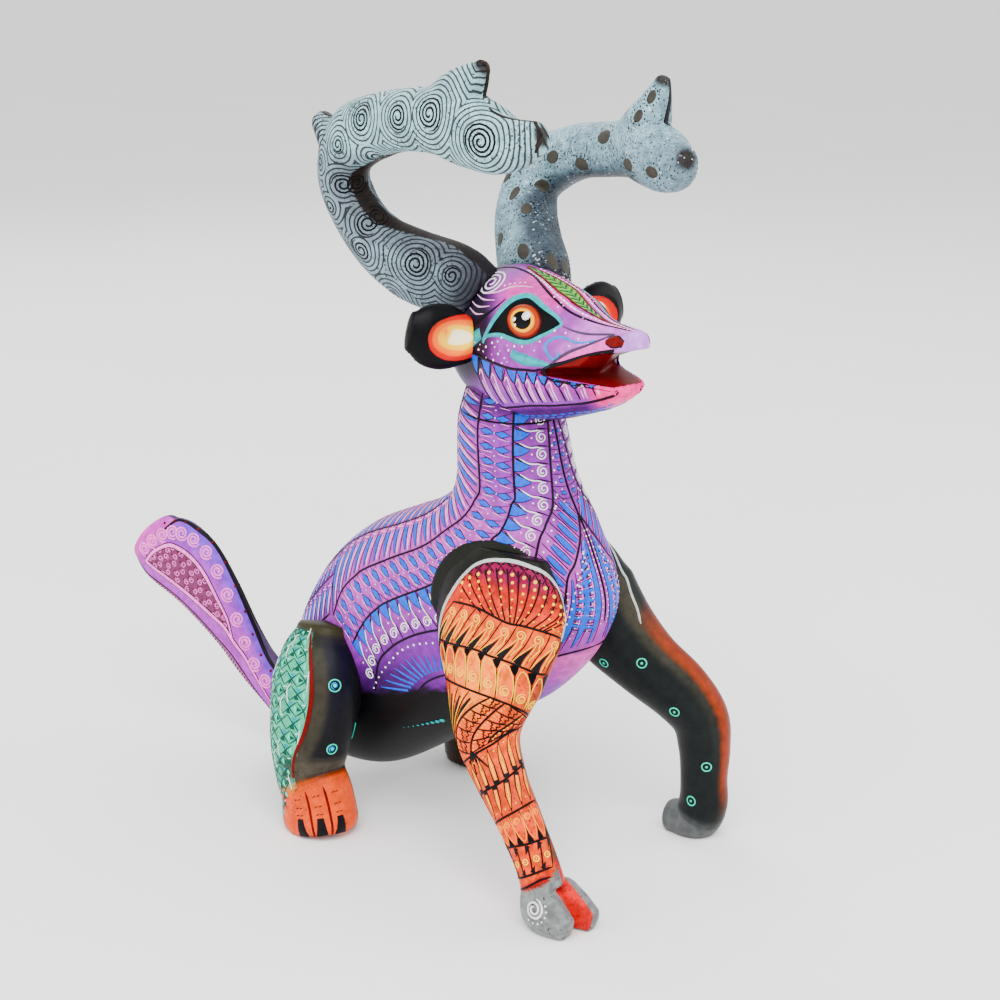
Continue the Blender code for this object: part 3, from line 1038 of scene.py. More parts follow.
class Brush:
    """Collects the strokes, dots and patches on one piece of wood, and lays them as paint on it."""

    def __init__(self, name: str, wood: bpy.types.Object) -> None:
        """Paints on the wood; name starts the names of the paint's objects.

        Args:
            name: Starts the names of the paint's objects.
            wood: What it paints on.
        """
        self.name, self.wood = name, wood
        self.lines: list[Line] = []
        self.dots: list[Line] = []

    @staticmethod
    def height(layer: float) -> float:
        """How far paint of a layer stands out of the wood, in millimetres."""
        return 0.035 + 0.035 * layer

    def stroke(
        self, points: np.ndarray, half: float | Sequence[
            float
        ], ink: Ink, layer: float = 2, ends: float = 0.35
    ) -> None:
        """Lays one stroke.

        Args:
            points: Points in millimetres, near the wood.
            half: Half the width, one number or some spread evenly along the stroke.
            ink: Its paint.
            layer: Which coat it is; higher coats cover lower ones.
            ends: The width at both ends, as a share, when half is one number.
        """
        points = np.asarray(points, float)
        share = np.linspace(0, 1, len(points))
        if np.ndim(half) == 0:
            close = np.minimum(share, 1 - share) * len(points)
            width = half * (ends + (1 - ends) * np.clip(close / 2, 0, 1))
        else:
            width = np.interp(share, np.linspace(0, 1, len(half)), half)
        self.lines.append(Line(points, np.maximum(width, 0.05), ink.value, self.height(layer)))

    def outlined(
        self, points: np.ndarray, half: Sequence[float], ink: Ink, layer: float = 2, rim: float = 0.22
    ) -> None:
        """A filled shape, with a black edge under it."""
        self.stroke(points, [h + rim for h in half], Ink.BLACK, layer - 0.8)
        self.stroke(points, half, ink, layer)

    def dot(self, point: np.ndarray, radius: float, ink: Ink, layer: float = 3) -> None:
        """Lays one dot."""
        self.dots.append(
            Line(np.asarray(point, float), np.array([radius]), ink.value, self.height(layer) - 0.03)
        )

    def dots_along(
        self, points: np.ndarray, pitch: float, sizes: Sequence[float], ink: Ink, layer: float = 3
    ) -> None:
        """Lays a row of dots.

        Args:
            points: The row's path.
            pitch: The distance between dots.
            sizes: Radii, spread evenly along the row.
            ink: Their paint.
            layer: Which coat they are.
        """
        far = distances(points)
        count = max(1, int(far[-1] / pitch))
        for k, where in enumerate(np.linspace(0, far[-1], count + 1)):
            spot = np.array([np.interp(where, far, points[:, i]) for i in range(3)])
            radius = float(np.interp(k / count, np.linspace(0, 1, len(sizes)), sizes))
            self.dot(spot, radius, ink, layer)

    def lay(self) -> list[bpy.types.Object]:
        """Makes the paint's objects.

        Returns:
            The strokes and the dots, where there are any.
        """
        made = []
        narrow = [line for line in self.lines if line.half.max() < WIDE]
        wide = [line for line in self.lines if line.half.max() >= WIDE]
        for kind, lines, section in (("strokes", narrow, 4), ("fills", wide, 8)):
            if not lines:
                continue
            points = np.concatenate([line.points for line in lines])
            edges, start = [], 0
            for line in lines:
                edges += [(start + k, start + k + 1) for k in range(len(line.points) - 1)]
                start += len(line.points)
            strokes = mesh_object(f"{self.name}_{kind}", points, [], edges)
            counts = [len(line.points) for line in lines]
            self.fill_in(strokes, lines, counts, np.concatenate([line.half for line in lines]))
            inputs = {
                "Surface": self.wood,
                "Sink": SINK * MM,
                "Section Points": section,
                "Inner Spread": INNER_SPREAD * (section - 1) / (section - 3),
                "Paint": BRUSHED_INK.material(),
            }
            made.append(grow_tree(strokes, TREES["strokes"], inputs))
        if self.dots:
            beads = mesh_object(f"{self.name}_dots", np.array([dot.points for dot in self.dots]), [])
            self.fill_in(
                beads, self.dots, [1] * len(self.dots), np.concatenate([dot.half for dot in self.dots])
            )
            inputs = {"Surface": self.wood, "Flatness": DOT_FLATNESS, "Paint": BRUSHED_INK.material()}
            made.append(grow_tree(beads, TREES["dots"], inputs))
        return made

    @staticmethod
    def fill_in(obj: bpy.types.Object, lines: list[Line], counts: list[int], half: np.ndarray) -> None:
        """Stores the widths, inks and heights of the lines on the object's points.

        Args:
            obj: The object.
            lines: The lines.
            counts: How many points each has.
            half: The half width at each point.
        """
        write_attribute(obj, "half_width", half * MM)
        write_attribute(obj, "ink", np.repeat([line.ink for line in lines], counts, axis=0))
        write_attribute(obj, "lift", np.repeat([line.lift for line in lines], counts) * MM)


SINK = 0.09  # how far a stroke's edges go under the wood
INNER_SPREAD = 0.85  # how far out its top reaches, as a share of its half width
WIDE = 0.75  # half width from which a stroke gets more points across
DOT_FLATNESS = 0.28
TREES = {"strokes": stroke_tree(), "dots": dot_tree()}

# The rows of the carved blocks, in millimetres.
# The body, tail to neck: back y, back z, belly y, belly z, half width.
BODY = (
    (107, 46, 103, 17, 12),
    (103.5, 59.5, 97, 10, 19),
    (98, 72, 86, 8, 23.5),
    (88.5, 84, 69, 11.5, 26),
    (75, 94, 47, 24.5, 27),
    (60, 101, 26, 38.5, 26),
    (49.5, 105.5, 6, 51, 25),
    (43, 109.5, -9, 67, 24),
    (40, 112.5, -15.5, 84, 21.5),
    (38.5, 118.5, -9.5, 102, 18),
    (38.5, 127, -0.5, 118, 16),
    (38, 136, 4, 133, 15.2),
    (35, 145, 7, 145, 13.5),
)

# The head before it is turned, back to nose: y, top z, bottom z, half width.
HEAD = (
    (37.5, 172, 144, 12.5),
    (29, 179, 139.5, 16.5),
    (18, 181.5, 138, 18),
    (6, 180, 138, 18),
    (-5, 177, 140, 16.5),
    (-13, 173.5, 142.5, 13.5),
    (-21.5, 171, 145.5, 10.5),
    (-28.5, 170.3, 149, 8),
    (-33.5, 170, 152.5, 6.2),
)

# Spine rows: x, y, z, half width along the side axis, half depth across it. The carver made the two
# antlers and the two front legs by eye, so each has rows of its own; ears and hind legs are mirrored.
RIGHT_BEAM = (
    (-9, 24, 171.5, 8, 9.5),
    (-12, 33, 176, 9, 10.5),
    (-18, 44.2, 179, 9, 10.8),
    (-24, 55.4, 185.5, 8, 9.4),
    (-29, 61.6, 196, 7.5, 7.8),
    (-31.5, 63, 206.5, 7.5, 9),
    (-31.5, 56, 216.5, 7.5, 9.8),
    (-30, 38, 222.3, 7.5, 8.8),
    (-28, 19, 224, 7.5, 9.2),
    (-26, 5, 222, 7.8, 10),
    (-23, -7, 219, 7.5, 7.8),
    (-20.3, -17, 221.5, 4.4, 4.4),
)
RIGHT_TINE = (
    (-27.5, 17, 224, 6.2, 11),
    (-26.8, 10.5, 230, 5.6, 8.8),
    (-26.3, 3.8, 235.5, 4.2, 5.2),
    (-26, -0.5, 239.3, 2, 2.2),
)
RIGHT_SPUR = (
    (-31.5, 58, 210, 5, 7),
    (-32.5, 66, 216, 4.8, 5.6),
    (-33, 72.5, 220.5, 3, 3.2),
)
LEFT_BEAM = (
    (9.5, 20, 171, 8, 9.5),
    (12.5, 27.5, 177.5, 9.5, 10.5),
    (17, 36.5, 184, 9, 10),
    (22.5, 45, 191.5, 8.5, 9.3),
    (27, 47.5, 200, 7.5, 8.4),
    (29.5, 40, 207, 7.5, 8.6),
    (30, 28, 211.2, 7.5, 8.2),
    (29.5, 14, 213, 7.5, 8),
    (28, 0, 214.5, 7.5, 8.4),
    (25.5, -12, 213.5, 7.5, 9),
    (23, -21.5, 212, 7, 7.6),
    (21, -28.8, 214, 4, 3.8),
)
LEFT_TINE = (
    (27.5, -1, 215, 6, 8),
    (27, -6, 222, 5.8, 7),
    (26.5, -10.5, 229, 4, 4.2),
    (26, -13.5, 234.5, 2, 2),
)
LEFT_SPUR = (
    (29, 43, 205, 5, 6),
    (30.5, 50, 210, 4.4, 4.6),
    (31.5, 55.5, 214.5, 2.6, 2.6),
)
EAR = (
    (-12, 19, 160.5, 3, 4),
    (-18, 19.5, 161, 4, 7),
    (-25, 20, 162.5, 4.4, 9.4),
    (-31, 21, 164, 4, 8.8),
    (-35, 22, 165, 2.8, 6),
)
RIGHT_FRONT_LEG = (
    (-17, 7.5, 98, 6.5, 15.4),
    (-18.5, 7.5, 92, 8.5, 20.6),
    (-20.5, 7.6, 83, 10, 23.8),
    (-23, 6.2, 73, 10.5, 22.3),
    (-26.5, 4.5, 65, 10.5, 18),
    (-30, 3.5, 56, 9.5, 13.5),
    (-32.5, 1, 47, 8.5, 10),
    (-35, -6.5, 37.5, 7.2, 7.8),
    (-36.5, -14, 29, 6.4, 7),
    (-38, -22, 18.5, 6, 6.6),
    (-38.3, -25, 12, 6.2, 6.8),
)
LEFT_FRONT_LEG = (
    (16.5, 11, 97, 6.2, 11),
    (17.5, 10.5, 91, 8.2, 15),
    (20, 9, 82, 9.6, 17.5),
    (22.5, 4.5, 73, 10.3, 16.2),
    (25.5, -1, 65, 10.5, 14),
    (29.5, -9, 56.5, 10, 11.5),
    (34, -18, 48.5, 9.2, 10.5),
    (37.5, -23.5, 40, 8.4, 9.4),
    (39, -24.5, 30, 7.6, 8.4),
    (39.5, -24.3, 20, 7, 7.6),
    (40, -24, 11, 7.4, 7.8),
    (40, -21, 4.8, 7.8, 7.4),
    (39, -14, 3.6, 6.2, 5.4),
)
TOES = (
    # Each toe of the right front hoof, heel to tip: x, y, z, half width, half height.
    ((-38.5, -22, 10, 4, 5), (-41, -26, 7, 4.8, 7.5), (-41.3, -31, 5, 4.6, 6.5), (-41, -36, 3.5, 3, 4.2)),
    ((-37, -22, 10, 4, 5), (-33.2, -26, 7, 4.6, 7.5), (-32.4, -32, 5, 4.3, 6.5), (-32, -38, 3.5, 2.8, 4.2)),
)
HIND_LEG = (
    (-26.5, 77.5, 61, 8, 9.5),
    (-28.5, 77, 55, 10.5, 13.5),
    (-31, 76, 46, 12.5, 16),
    (-33.5, 75.5, 36, 12.5, 15.2),
    (-35.5, 75.5, 26, 11.6, 13.5),
    (-36.5, 74.5, 18, 10.4, 12),
    (-37, 71, 11, 10.6, 12.4),
    (-37.4, 69.3, 4, 11, 13.2),
)
# The tail before it is swung, root to tip: front y, front z, rear y, rear z, half thickness.
TAIL = (
    (98, 33, 99, 17, 3.6),
    (110, 31, 113, 13, 4),
    (119, 31, 124, 12.5, 4.2),
    (127, 36, 131, 17.5, 4.2),
    (133.5, 45.5, 140.5, 26, 4.2),
    (141, 59.5, 150, 36, 4.2),
    (149, 71.5, 164.5, 47.5, 4),
    (158, 78, 179, 56, 3.6),
    (166, 79.5, 184, 63, 3),
)
EAR_DISH = ((-26.5, 13.8, 163.5), (8.2, 5.6, 6.6))  # centre and radii of the hollow's ellipsoid
LEFT_EAR_OFFSET = (0, -5, 1.5)

# Pegs: start, end and radius, in their own group's frame.
HEAD_PEGS = {
    "right_antler": ((-6.5, 23.5, 168.5), (-16.5, 41.5, 178), 2.5),
    "left_antler": ((7, 17.5, 168.5), (16.5, 35, 183), 2.5),
    "right_ear": ((-9, 19, 159.5), (-20, 19.8, 162), 1.5),
    "left_ear": ((9, 14, 161), (20, 14.8, 163.5), 1.5),
}
TAIL_PEG = ((0, 90, 20), (0, 116, 24), 2.5)


def distances(points: np.ndarray) -> np.ndarray:
    """How far along a row of points each one is."""
    return np.concatenate([[0], np.cumsum(np.linalg.norm(np.diff(points, axis=0), axis=1))])


def evenly(
    path: Path, on_wood: Callable[[np.ndarray], np.ndarray], step: float, count: int = 0, fineness: int = 16
) -> np.ndarray:
    """Flat coordinates of places that are evenly spaced on the wood along a smooth path.

    Args:
        path: Its knots.
        on_wood: Gives the points of the wood at flat coordinates.
        step: The distance between places in millimetres.
        count: How many places there are, instead of a step.
        fineness: How finely the path is measured, for each knot.

    Returns:
        One row of two coordinates for each place.
    """
    knots = np.asarray(path, float)
    fine = read_rows(knots, np.linspace(0, len(knots) - 1, fineness * len(knots)))
    far = distances(on_wood(fine))
    even = np.linspace(0, far[-1], count or max(3, int(far[-1] / step) + 1))
    return np.stack([np.interp(even, far, fine[:, k]) for k in range(2)], -1)


def trace(loft: Loft, path: Path, step: float = 0.9) -> np.ndarray:
    """Points evenly spaced along a smooth path in a loft's chart.

    Args:
        loft: The loft.
        path: Its (t, a) knots.
        step: The distance between points in millimetres.

    Returns:
        Points in the object's frame.
    """
    return loft.at(*evenly(path, lambda fine: loft.at(*fine.T), step).T)


def flipped(path: Path) -> Path:
    """The same chart path on the other side of the middle plane."""
    return [(t, 180 - a) for t, a in path]


def frame_at(loft: Loft, t: float, a: float) -> tuple[np.ndarray, np.ndarray, np.ndarray]:
    """A place on a loft with the unit directions of growing t and, square to it, of growing a.

    Args:
        loft: The loft.
        t: A position along its rows.
        a: An angle round its section, in degrees.

    Returns:
        The place and the two directions.
    """
    here = loft.at(np.array(t), np.array(a))
    along = unit(loft.at(np.array(t + 0.05), np.array(a)) - loft.at(np.array(t - 0.05), np.array(a)))
    round_it = loft.at(np.array(t), np.array(a + 2.0)) - loft.at(np.array(t), np.array(a - 2.0))
    return here, along, unit(round_it - along * np.dot(round_it, along))


def spiral_in(
    frame_of: tuple[
        np.ndarray, np.ndarray, np.ndarray
    ], radius: float, turns: float, start: float, way: int = 1
) -> np.ndarray:
    """A spiral that winds inwards in a tangent plane.

    Args:
        frame_of: The centre and two unit directions.
        radius: Its outer radius in millimetres.
        turns: How many times it goes round.
        start: The angle of its outer end in degrees.
        way: 1 or -1, the way it winds.

    Returns:
        Points from the outer end to the middle.
    """
    here, u, v = frame_of
    count = max(8, int(turns * (9 + 1.2 * radius)))
    share = np.linspace(0, 1, count)[:, None]
    angle = math.radians(start) + way * share * turns * 2 * math.pi
    reach = radius * (1 - share * (1 - 0.5 / (turns + 0.5)))
    return here + u * (reach * np.cos(angle)) + v * (reach * np.sin(angle))


BAND_PLACES = 100  # where each edge of a band is known


class Band:
    """A strip between two chart lines, divided into cells; x runs along a cell and y across it."""

    def __init__(self, loft: Loft, upper: Path, lower: Path, pitch: float, slant: float = 0.0) -> None:
        """Divides the strip.

        Args:
            loft: The loft it lies on.
            upper: The line at y = 1.
            lower: The line at y = 0.
            pitch: The length of a cell in millimetres.
            slant: How many cells the upper line runs ahead of the lower one.
        """
        self.loft, self.slant = loft, slant
        self.upper, self.lower = self.even(upper), self.even(lower)
        middle = (self.upper + self.lower) / 2
        points = loft.at(middle[:, 0], middle[:, 1])
        self.count = max(1, round(np.linalg.norm(np.diff(points, axis=0), axis=1).sum() / pitch))
        self.cell_size = pitch

    def even(self, path: Path) -> np.ndarray:
        """The line's chart coordinates at places evenly spaced on the wood."""
        return evenly(path, lambda fine: self.loft.at(*fine.T), 1, BAND_PLACES)

    def chart(self, cell: float, points: Path) -> np.ndarray:
        """Chart coordinates of points given in one cell's own x and y.

        Args:
            cell: The cell's number.
            points: Points of the cell.

        Returns:
            One row of t and a for each point.
        """
        xy = np.asarray(points, float)
        along = (
            np.clip((cell + xy[:, 0] + self.slant * (xy[:, 1] - 0.5)) / self.count, 0, 1)
            * (BAND_PLACES - 1)
        )
        k = np.arange(BAND_PLACES)
        low = np.stack([np.interp(along, k, self.lower[:, i]) for i in range(2)], -1)
        high = np.stack([np.interp(along, k, self.upper[:, i]) for i in range(2)], -1)
        return low + (high - low) * xy[:, 1:2]

    def path(self, cell: float, points: Path, step: float = 0.8) -> np.ndarray:
        """A smooth line through points of one cell."""
        return trace(self.loft, self.chart(cell, points), step)

    def spot(self, cell: float, x: float, y: float) -> np.ndarray:
        """The point at a place in a cell."""
        return self.loft.at(*self.chart(cell, [(x, y)])[0])

    def height(self, cell: float) -> float:
        """How wide the strip is at a cell, in millimetres.

        Args:
            cell: The cell's number.

        Returns:
            The width in millimetres.
        """
        ends = self.chart(cell, [(0.5, 0), (0.5, 1)])
        across = self.loft.at(ends[:, 0], ends[:, 1])
        return float(np.linalg.norm(across[1] - across[0]))

    def frame(self, cell: float, x: float, y: float) -> tuple[np.ndarray, np.ndarray, np.ndarray]:
        """The tangent frame at a place in a cell, its first direction running along the strip.

        Args:
            cell: The cell's number.
            x: How far along the cell, from 0 to 1.
            y: How far across it, from 0 to 1.

        Returns:
            The place and two unit directions.
        """
        a, b = self.chart(cell, [(x - 0.1, y), (x + 0.1, y)])
        lo, hi = self.chart(cell, [(x, y - 0.05), (x, y + 0.05)])
        pa, pb, pl, ph = (self.loft.at(np.array(p[0]), np.array(p[1])) for p in (a, b, lo, hi))
        u = unit(pb - pa)
        v = ph - pl
        return (pa + pb) / 2, u, unit(v - u * np.dot(v, u))


@dataclass
class Cell:
    """One cell of a strip under the brush; x runs along it and y across, both from 0 to 1."""

    brush: Brush
    band: Band
    number: int

    def path(self, spots: Path, step: float = 0.8) -> np.ndarray:
        """A smooth line through places of the cell."""
        return self.band.path(self.number, spots, step)

    def frame(self, x: float, y: float) -> tuple[np.ndarray, np.ndarray, np.ndarray]:
        """The tangent frame at a place of the cell."""
        return self.band.frame(self.number, x, y)

    def stroke(
        self, spots: Path, half: float | Sequence[float], ink: Ink, layer: float = 2, step: float = 0.8
    ) -> None:
        """Lays one stroke through places of the cell."""
        self.brush.stroke(self.path(spots, step), half, ink, layer)

    def wedge(self, spots: Path, widths: Sequence[float], ink: Ink = Ink.BLUE) -> None:
        """A filled shape along a path, with a black edge."""
        self.brush.outlined(self.path(spots, 0.7), widths, ink, 2.0)

    def dot(self, x: float, y: float, radius: float, ink: Ink) -> None:
        """Lays one dot."""
        self.brush.dot(self.band.spot(self.number, x, y), radius, ink)


def cells_of(brush: Brush, band: Band) -> Iterable[tuple[Cell, float]]:
    """Each cell of a strip with the strip's width there."""
    for number in range(band.count):
        yield Cell(brush, band, number), band.height(number)


class Motif:
    """Patterns that fill the cells of a band."""

    @staticmethod
    def separators(brush: Brush, band: Band, half: float = 0.2, bend: float = 0.0) -> None:
        """A black line across the strip between each pair of cells."""
        for number in range(band.count + 1):
            Cell(brush, band, number).stroke([(0, 0), (bend, 0.5), (0, 1)], half, Ink.BLACK, 1.4)

    @staticmethod
    def edge(
        brush: Brush, loft: Loft, path: Path, half: float, ink: Ink = Ink.BLACK, layer: float = 3
    ) -> None:
        """A long line."""
        brush.stroke(trace(loft, path, 1.0), half, ink, layer)

    @staticmethod
    def ridge_triangles(brush: Brush, band: Band) -> None:
        """Slim blue teeth with white strokes beside them.

        Args:
            brush: The brush.
            band: The strip.
        """
        Motif.separators(brush, band, 0.14)
        w = band.cell_size
        for cell, _ in cells_of(brush, band):
            cell.wedge([(0.3, 0.05), (0.55, 0.8)], (w * 0.2, w * 0.14, 0.05))
            cell.stroke([(0.65, 0.1), (0.85, 0.9)], 0.13, Ink.BLUSH)
            cell.stroke([(0.9, 0.1), (0.9, 0.8)], 0.1, Ink.BLUSH)

    @staticmethod
    def saddle_teeth(brush: Brush, band: Band) -> None:
        """A blue wedge that hangs from the upper line beside white zigzags.

        Args:
            brush: The brush.
            band: The strip.
        """
        Motif.separators(brush, band, 0.17)
        w = band.cell_size
        for cell, _ in cells_of(brush, band):
            cell.wedge([(0.25, 0.78), (0.33, 0.45), (0.46, 0.08)], (w * 0.2, w * 0.17, 0.08))
            cell.stroke([(0.62, 0.78), (0.7, 0.06)], 0.15, Ink.BLUSH)
            cell.stroke([(0.7, 0.06), (0.9, 0.74)], 0.13, Ink.BLUSH)
            cell.stroke([(0.1, 0.9), (0.8, 0.84)], 0.32, Ink.BLUSH, 1.7)
            cell.stroke([(0.77, 0.66), (0.8, 0.3)], 0.1, Ink.PINK)
            cell.dot(0.5, 0.93, 0.24, Ink.WHITE)

    @staticmethod
    def flank_diamonds(brush: Brush, band: Band) -> None:
        """Two blue diamonds in crossing black lines with white dots between.

        Args:
            brush: The brush.
            band: The strip.
        """
        w = band.cell_size
        for cell, _ in cells_of(brush, band):
            for spots in (
                [(0, 0), (0.5, 0.5), (1, 1)], [(0, 1), (0.5, 0.5), (1, 0)], [(0.5, 0), (0.52, 1)]
            ):
                cell.stroke(spots, 0.1, Ink.BLACK, 1.3, step=1.2)
            for y in (0.28, 0.72):
                cell.wedge([(0.5, y - 0.19), (0.5, y), (0.5, y + 0.19)], (0.06, w * 0.24, 0.06))
            cell.stroke([(0.12, 0.92), (0.2, 0.55)], 0.12, Ink.BLUSH)
            cell.stroke([(0.12, 0.08), (0.2, 0.4)], 0.12, Ink.BLUSH)
            cell.stroke([(0.88, 0.92), (0.82, 0.6)], 0.1, Ink.PINK)
            cell.dot(0, 0.5, 0.22, Ink.WHITE)
            cell.dot(0.5, 0.5, 0.2, Ink.WHITE)

    @staticmethod
    def petal_spirals(brush: Brush, band: Band, way: int = 1) -> None:
        """A blue tooth on the upper line, and a petal with a white curl at its foot.

        Args:
            brush: The brush.
            band: The strip.
            way: 1 or -1, the way the curls wind.
        """
        w = band.cell_size
        for cell, height in cells_of(brush, band):
            cell.wedge([(0.45, 0.98), (0.48, 0.84), (0.66, 0.56)], (w * 0.42, w * 0.3, 0.05))
            cell.stroke([(0.98, 1), (0.85, 0.6), (1.0, 0.3), (1.0, 0)], 0.2, Ink.BLACK, 1.4)
            radius = min(w * 0.4, height * 0.22)
            curl = spiral_in(cell.frame(0.52, 0.24), radius, 1.7, -25 if way > 0 else 205, way)
            lead = cell.path([(0.98, 0.84), (0.82, 0.6), (0.9, 0.38)])
            brush.stroke(np.concatenate([lead, curl]), 0.21, Ink.WHITE, 2.2)
            cell.dot(0.42, 0.52, 0.28, Ink.WHITE)

    @staticmethod
    def rounded_bars(brush: Brush, band: Band) -> None:
        """A blue bar with round ends and a white dot before it.

        Args:
            brush: The brush.
            band: The strip.
        """
        Motif.separators(brush, band, 0.15)
        w = band.cell_size
        for cell, height in cells_of(brush, band):
            if height > 5:
                cell.wedge([(0.5, 0.08), (0.5, 0.4), (0.5, 0.72)], (0.45, w * 0.25, w * 0.25, 0.45))
            cell.dot(0.5, 0.85, 0.34, Ink.WHITE)
            cell.stroke([(0.86, 0.1), (0.86, 0.7)], 0.09, Ink.PINK)

    @staticmethod
    def rays(brush: Brush, band: Band) -> None:
        """Long blue petals with a row of white dots between them.

        Args:
            brush: The brush.
            band: The strip.
        """
        w = band.cell_size
        for cell, height in cells_of(brush, band):
            cell.wedge([(0.35, 0.04), (0.4, 0.4), (0.45, 0.92)], (0.1, w * 0.24, w * 0.16, 0.1))
            cell.stroke([(0.7, 0.04), (0.72, 0.96)], 0.12, Ink.BLACK, 1.4)
            row = cell.path([(0.86, 0.2), (0.88, 0.9)])
            brush.dots_along(row, 1.7, (0.2, 0.32), Ink.WHITE)
            if height > 8:
                cell.stroke([(0.02, 0.3), (0.06, 0.8)], 0.2, Ink.PINK, 1.7)

    @staticmethod
    def spiral_teeth(brush: Brush, band: Band, ink: Ink) -> None:
        """Black speckled teeth with a curl above each, and slanting strokes.

        Args:
            brush: The brush.
            band: The strip.
            ink: The light paint.
        """
        Motif.separators(brush, band, 0.2)
        w = band.cell_size
        for cell, height in cells_of(brush, band):
            cell.stroke([(0.3, 0.02), (0.45, 0.55)], (w * 0.26, w * 0.12, 0.05), Ink.SOFT_BLACK)
            cell.stroke([(0.02, 0.02), (0.48, 0.68), (0.6, 0.02)], 0.14, ink, 2.5)
            cell.stroke([(0.7, 0.05), (0.9, 0.6)], 0.14, Ink.SOFT_BLACK, 2)
            curl = spiral_in(cell.frame(0.5, 0.76), min(w * 0.3, height * 0.17), 1.6, -60, 1)
            brush.stroke(np.concatenate([cell.path([(0.75, 0.15), (0.86, 0.5)]), curl]), 0.2, ink, 2.6)

    @staticmethod
    def round_petals(brush: Brush, band: Band, ink: Ink) -> None:
        """Petals with round tops under black speckles, a curl in each.

        Args:
            brush: The brush.
            band: The strip.
            ink: The light paint.
        """
        Motif.separators(brush, band, 0.2)
        w = band.cell_size
        for cell, height in cells_of(brush, band):
            for x in (0.0, 1.0):
                top = [(x, 0.98), (x, 0.84), (x, 0.72)]
                cell.stroke(top, (w * 0.3, w * 0.2, 0.08), Ink.SOFT_BLACK, 2)
            arch = [(0.08, 0.08), (0.07, 0.6), (0.5, 0.92), (0.93, 0.6), (0.92, 0.1)]
            cell.stroke(arch, 0.15, ink, 2.4)
            curl = spiral_in(cell.frame(0.5, 0.3), min(w * 0.32, height * 0.22), 1.8, 80, 1)
            brush.stroke(curl, 0.22, ink, 2.6)

    @staticmethod
    def frets(brush: Brush, band: Band) -> None:
        """Stepped lines over dots and fine hatching.

        Args:
            brush: The brush.
            band: The strip.
        """
        for cell, _ in cells_of(brush, band):
            stair = [(k / 6, 0.66 - 0.3 * k / 6 + (0.12 if k % 2 else 0)) for k in range(7)]
            cell.stroke(stair, 0.24, Ink.BLACK, 2.2, step=0.6)
            low = [(k / 5, 0.2 + (0.16 if k % 2 else 0)) for k in range(6)]
            cell.stroke(low, 0.2, Ink.BLACK, 2.2, step=0.6)
            for k in range(3):
                cell.dot(0.2 + 0.3 * k, 0.84, 0.24, Ink.YELLOW)
                hatch = [(0.1 + 0.3 * k, 0.42), (0.25 + 0.3 * k, 0.32)]
                cell.stroke(hatch, 0.12, Ink.BLACK, 2)
        Motif.separators(brush, band, 0.26, 0.1)

    @staticmethod
    def leaf_rows(brush: Brush, band: Band, ink: Ink) -> None:
        """Pointed leaves, dark at the root, with a light rib.

        Args:
            brush: The brush.
            band: The strip.
            ink: The light paint.
        """
        w = band.cell_size
        for cell, _ in cells_of(brush, band):
            cell.stroke([(0.5, 0.02), (0.5, 0.5), (0.5, 0.95)], (w * 0.3, w * 0.3, 0.1), Ink.SOFT_BLACK)
            leaf = cell.path([(0.5, 0.12), (0.5, 0.5), (0.5, 0.85)])
            brush.stroke(leaf, (w * 0.16, w * 0.2, 0.05), Ink.APRICOT, 2.6)
            cell.stroke([(0.5, 0.15), (0.5, 0.7)], 0.12, ink, 3)
            cell.dot(0.0, 0.8, 0.26, ink)

    @staticmethod
    def ring(
        brush: Brush, spot: tuple[np.ndarray, np.ndarray, np.ndarray], radius: float, ink: Ink
    ) -> None:
        """A ring with a dot in it.

        Args:
            brush: The brush.
            spot: Its middle and two unit directions.
            radius: Its radius in millimetres.
            ink: Its paint.
        """
        here, u, v = spot
        angle = np.linspace(0, 2 * math.pi, 18)[:, None]
        brush.stroke(here + (u * np.cos(angle) + v * np.sin(angle)) * radius, 0.2, ink, 2.5, 1)
        brush.dot(here, radius * 0.3, ink)


@dataclass
class Carving:
    """A piece of the figure: its meshes, its ground colour, its paint and the body it rides on."""

    name: str
    body: str
    slot: str
    nodes: tuple[str, ...]

    def shape(self) -> bpy.types.Object:
        """The carved wood."""
        raise NotImplementedError

    def ground(self, points: np.ndarray) -> np.ndarray:
        """The ground colour at each point.

        Args:
            points: Points in the object's frame, in millimetres.

        Returns:
            Linear colours, one row for each point.
        """
        raise NotImplementedError

    def finish(self) -> Finish:
        """The ground's finish."""
        return BODY_GROUND

    def paint(self, wood: bpy.types.Object) -> list[bpy.types.Object]:
        """The strokes, dots and inlays on the wood; none unless a piece has some."""
        return []

    def build(self) -> None:
        """Makes the piece and fixes it to its body."""
        wood = self.shape()
        wood.name = wood.data.name = f"{self.name}_wood"
        write_attribute(wood, "ground", self.ground(vertices(wood)))
        self.finish().dress(wood)
        painted = self.paint(wood)
        for piece in [wood, *painted]:
            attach(piece, self.body)
        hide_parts(*self.nodes)
        triangles = sum(
            len(face.vertices) - 2 for piece in [wood, *painted] for face in piece.data.polygons
        )
        log.info("%s: %d objects, %d triangles", self.name, 1 + len(painted), triangles)


LILAC, VIOLET, DUSK = (0.42, 0.13, 0.42), (0.17, 0.04, 0.3), (0.05, 0.014, 0.09)
ROSE, NIGHT = (0.55, 0.16, 0.42), (0.006, 0.006, 0.008)

